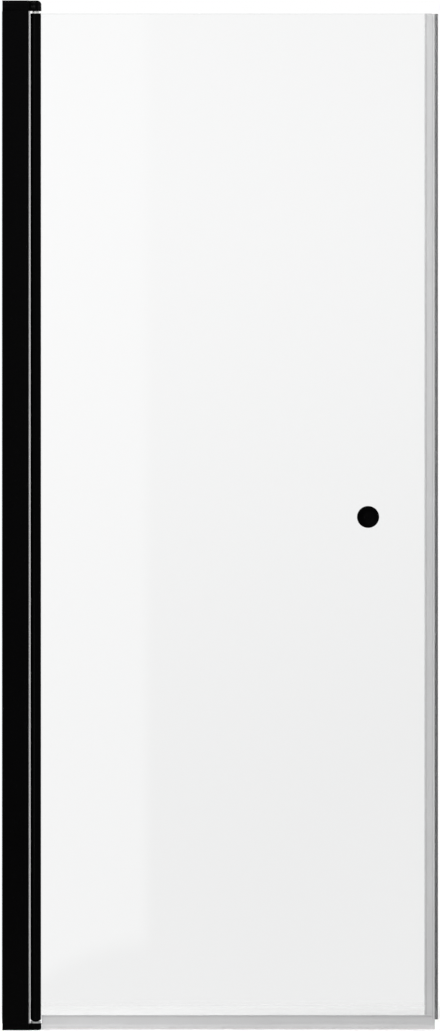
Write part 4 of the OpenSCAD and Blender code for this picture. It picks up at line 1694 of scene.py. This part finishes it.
@dataclass(frozen=True)
class Reflector:
    """Large sheet in front that only glossy rays see: a soft box that fades downwards on a darker ground."""

    distance: float = 4.0
    half: float = 3.0
    rise: Point = (0.2, 1.7)
    ground_light: Point = (0.44, 2.34)
    box_light: Point = (1.06, 0.46)
    box_side: Point = (0.222, 0.188)
    box_end: Point = (0.13, 0.19)
    box_corner: float = 0.21
    box_bend: float = 1.6
    left: Point = (-0.012, 0.012)
    right: Point = (0.95, 0.78)
    top: Point = (2.1, 1.92)

    def build(self, centre: Point, camera_distance: float) -> None:
        """Hangs the sheet.

        Args:
            centre: what it hangs in front of, as X and Z.
            camera_distance: distance of the camera, from which the light's places are seen on the glass.
        """
        material, board, shader = new_material("Reflector")
        board.tree.nodes.remove(shader)
        light = board.add("ShaderNodeEmission", {"Strength": self.light(board, centre, camera_distance)})
        board.feed(board.tree.nodes["Material Output"], {"Surface": light.outputs["Emission"]})
        half = self.half
        mesh = bpy.data.meshes.new("reflector")
        mesh.from_pydata([(-half, 0.0, -half), (half, 0.0, -half), (half, 0.0, half), (-half, 0.0, half)], [],
                         [(0, 1, 2, 3)])
        card = add_object("reflector", mesh)
        card.location = (centre[0], -self.distance, centre[1])
        card.data.materials.append(material)
        for ray in ("camera", "diffuse", "transmission", "volume_scatter", "shadow"):
            setattr(card, f"visible_{ray}", False)

    def light(self, board: Board, centre: Point, camera_distance: float) -> Socket:
        """Shades the sheet by the place on the glass where the camera sees it.

        Args:
            board: board of the material.
            centre: middle of the sheet, as X and Z.
            camera_distance: distance of the camera.

        Returns:
            The socket with the strength of its light.
        """
        place, grow = board.parts(board.place()), 1.0 + self.distance / camera_distance
        x, z = (board.math("ADD", board.math("DIVIDE", place[axis], grow), middle)
                for axis, middle in zip("XZ", centre))
        ground = board.math("SUBTRACT", board.ramp(z, *self.rise, *self.ground_light), x)
        bend = board.math("POWER", board.math("SUBTRACT", self.box_corner, x), 2.0)
        end = board.ramp(board.math("ADD", z, board.math("MULTIPLY", bend, self.box_bend)), *self.box_end)
        box = board.product(board.ramp(x, *self.box_side), end, board.ramp(z, *self.rise, *self.box_light))
        ends = board.product(board.ramp(x, *self.left), board.ramp(x, *self.right), board.ramp(z, *self.top))
        return board.math("MAXIMUM", board.math("MULTIPLY", board.math("ADD", ground, box), ends), 0.0)


@dataclass(frozen=True)
class Lamp:
    """Square soft lamp: its place, the point that it faces, its width and its power in watts."""

    name: str
    place: Triple
    aim: Triple
    size: float
    power: float

    def build(self) -> None:
        """Hangs the lamp."""
        data = bpy.data.lights.new(self.name, "AREA")
        data.size, data.energy = self.size, self.power
        lamp = add_object(self.name, data)
        lamp.location = self.place
        lamp.rotation_euler = (Vector(self.aim) - Vector(self.place)).to_track_quat("-Z", "Y").to_euler()


@dataclass(frozen=True)
class Studio:
    """Camera, world, floor, reflector and the lamps, brightest from above and in front."""

    centre: Point = (0.3402, 0.9497)
    distance: float = 30.0
    frame_height: float = 1.9031
    sensor: float = 36.0
    clip_end: float = 300.0
    ambient: float = 0.35
    lamps: tuple[Lamp, ...] = (
        Lamp("Front lamp", (-1.3, -2.2, 3.0), (0.34, 0.0, 1.2), 1.6, 100.0),
        Lamp("Side lamp", (2.8, -1.2, 2.4), (0.34, 0.0, 1.0), 1.4, 24.0),
        Lamp("Low lamp", (-0.9, -1.4, 0.5), (0.1, 0.0, 0.0), 0.5, 4.0),
        Lamp("Back lamp", (1.2, 2.6, 2.8), (0.34, 0.0, 1.0), 1.6, 55.0),
        Lamp("Wall lamp", (-2.4, 1.2, 2.0), (0.0, 0.0, 1.0), 1.2, 30.0))

    def build(self) -> None:
        """Sets up everything that isn't part of the door."""
        bpy.context.scene.view_settings.view_transform = "Standard"
        self.build_camera()
        self.build_world()
        Floor().build(self.centre[0])
        Reflector().build(self.centre, self.distance)
        for lamp in self.lamps:
            lamp.build()

    def build_camera(self) -> None:
        """Places the camera straight in front, far off behind a long lens, as in the photograph."""
        data = bpy.data.cameras.new("Camera")
        data.sensor_width = self.sensor
        data.lens = self.sensor * self.distance / self.frame_height
        data.clip_end = self.clip_end
        camera = add_object("Camera", data)
        camera.location = (self.centre[0], -self.distance, self.centre[1])
        camera.rotation_euler = (math.pi / 2, 0.0, 0.0)
        bpy.context.scene.camera = camera

    def build_world(self) -> None:
        """Makes a world that is white to look at and a soft, weaker light on the door."""
        world = bpy.data.worlds.new("White studio")
        world.use_nodes = True
        bpy.context.scene.world = world
        board = Board(world.node_tree)
        strength = board.ramp(seen_directly(board), 0.0, 1.0, self.ambient, 1.0)
        board.feed(world.node_tree.nodes["Background"], {"Color": colour(WHITE), "Strength": strength})


def main() -> None:
    """Builds the studio and the door's sub-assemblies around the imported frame."""
    logging.basicConfig(level=logging.INFO, format="%(message)s")
    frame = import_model()
    Studio().build()
    shop = Workshop(frame)
    for part in (WallPost, Arms, Pivot, Stile, Pane, Knobs, Seals):
        part(shop).build()


if __name__ == "__main__":
    main()
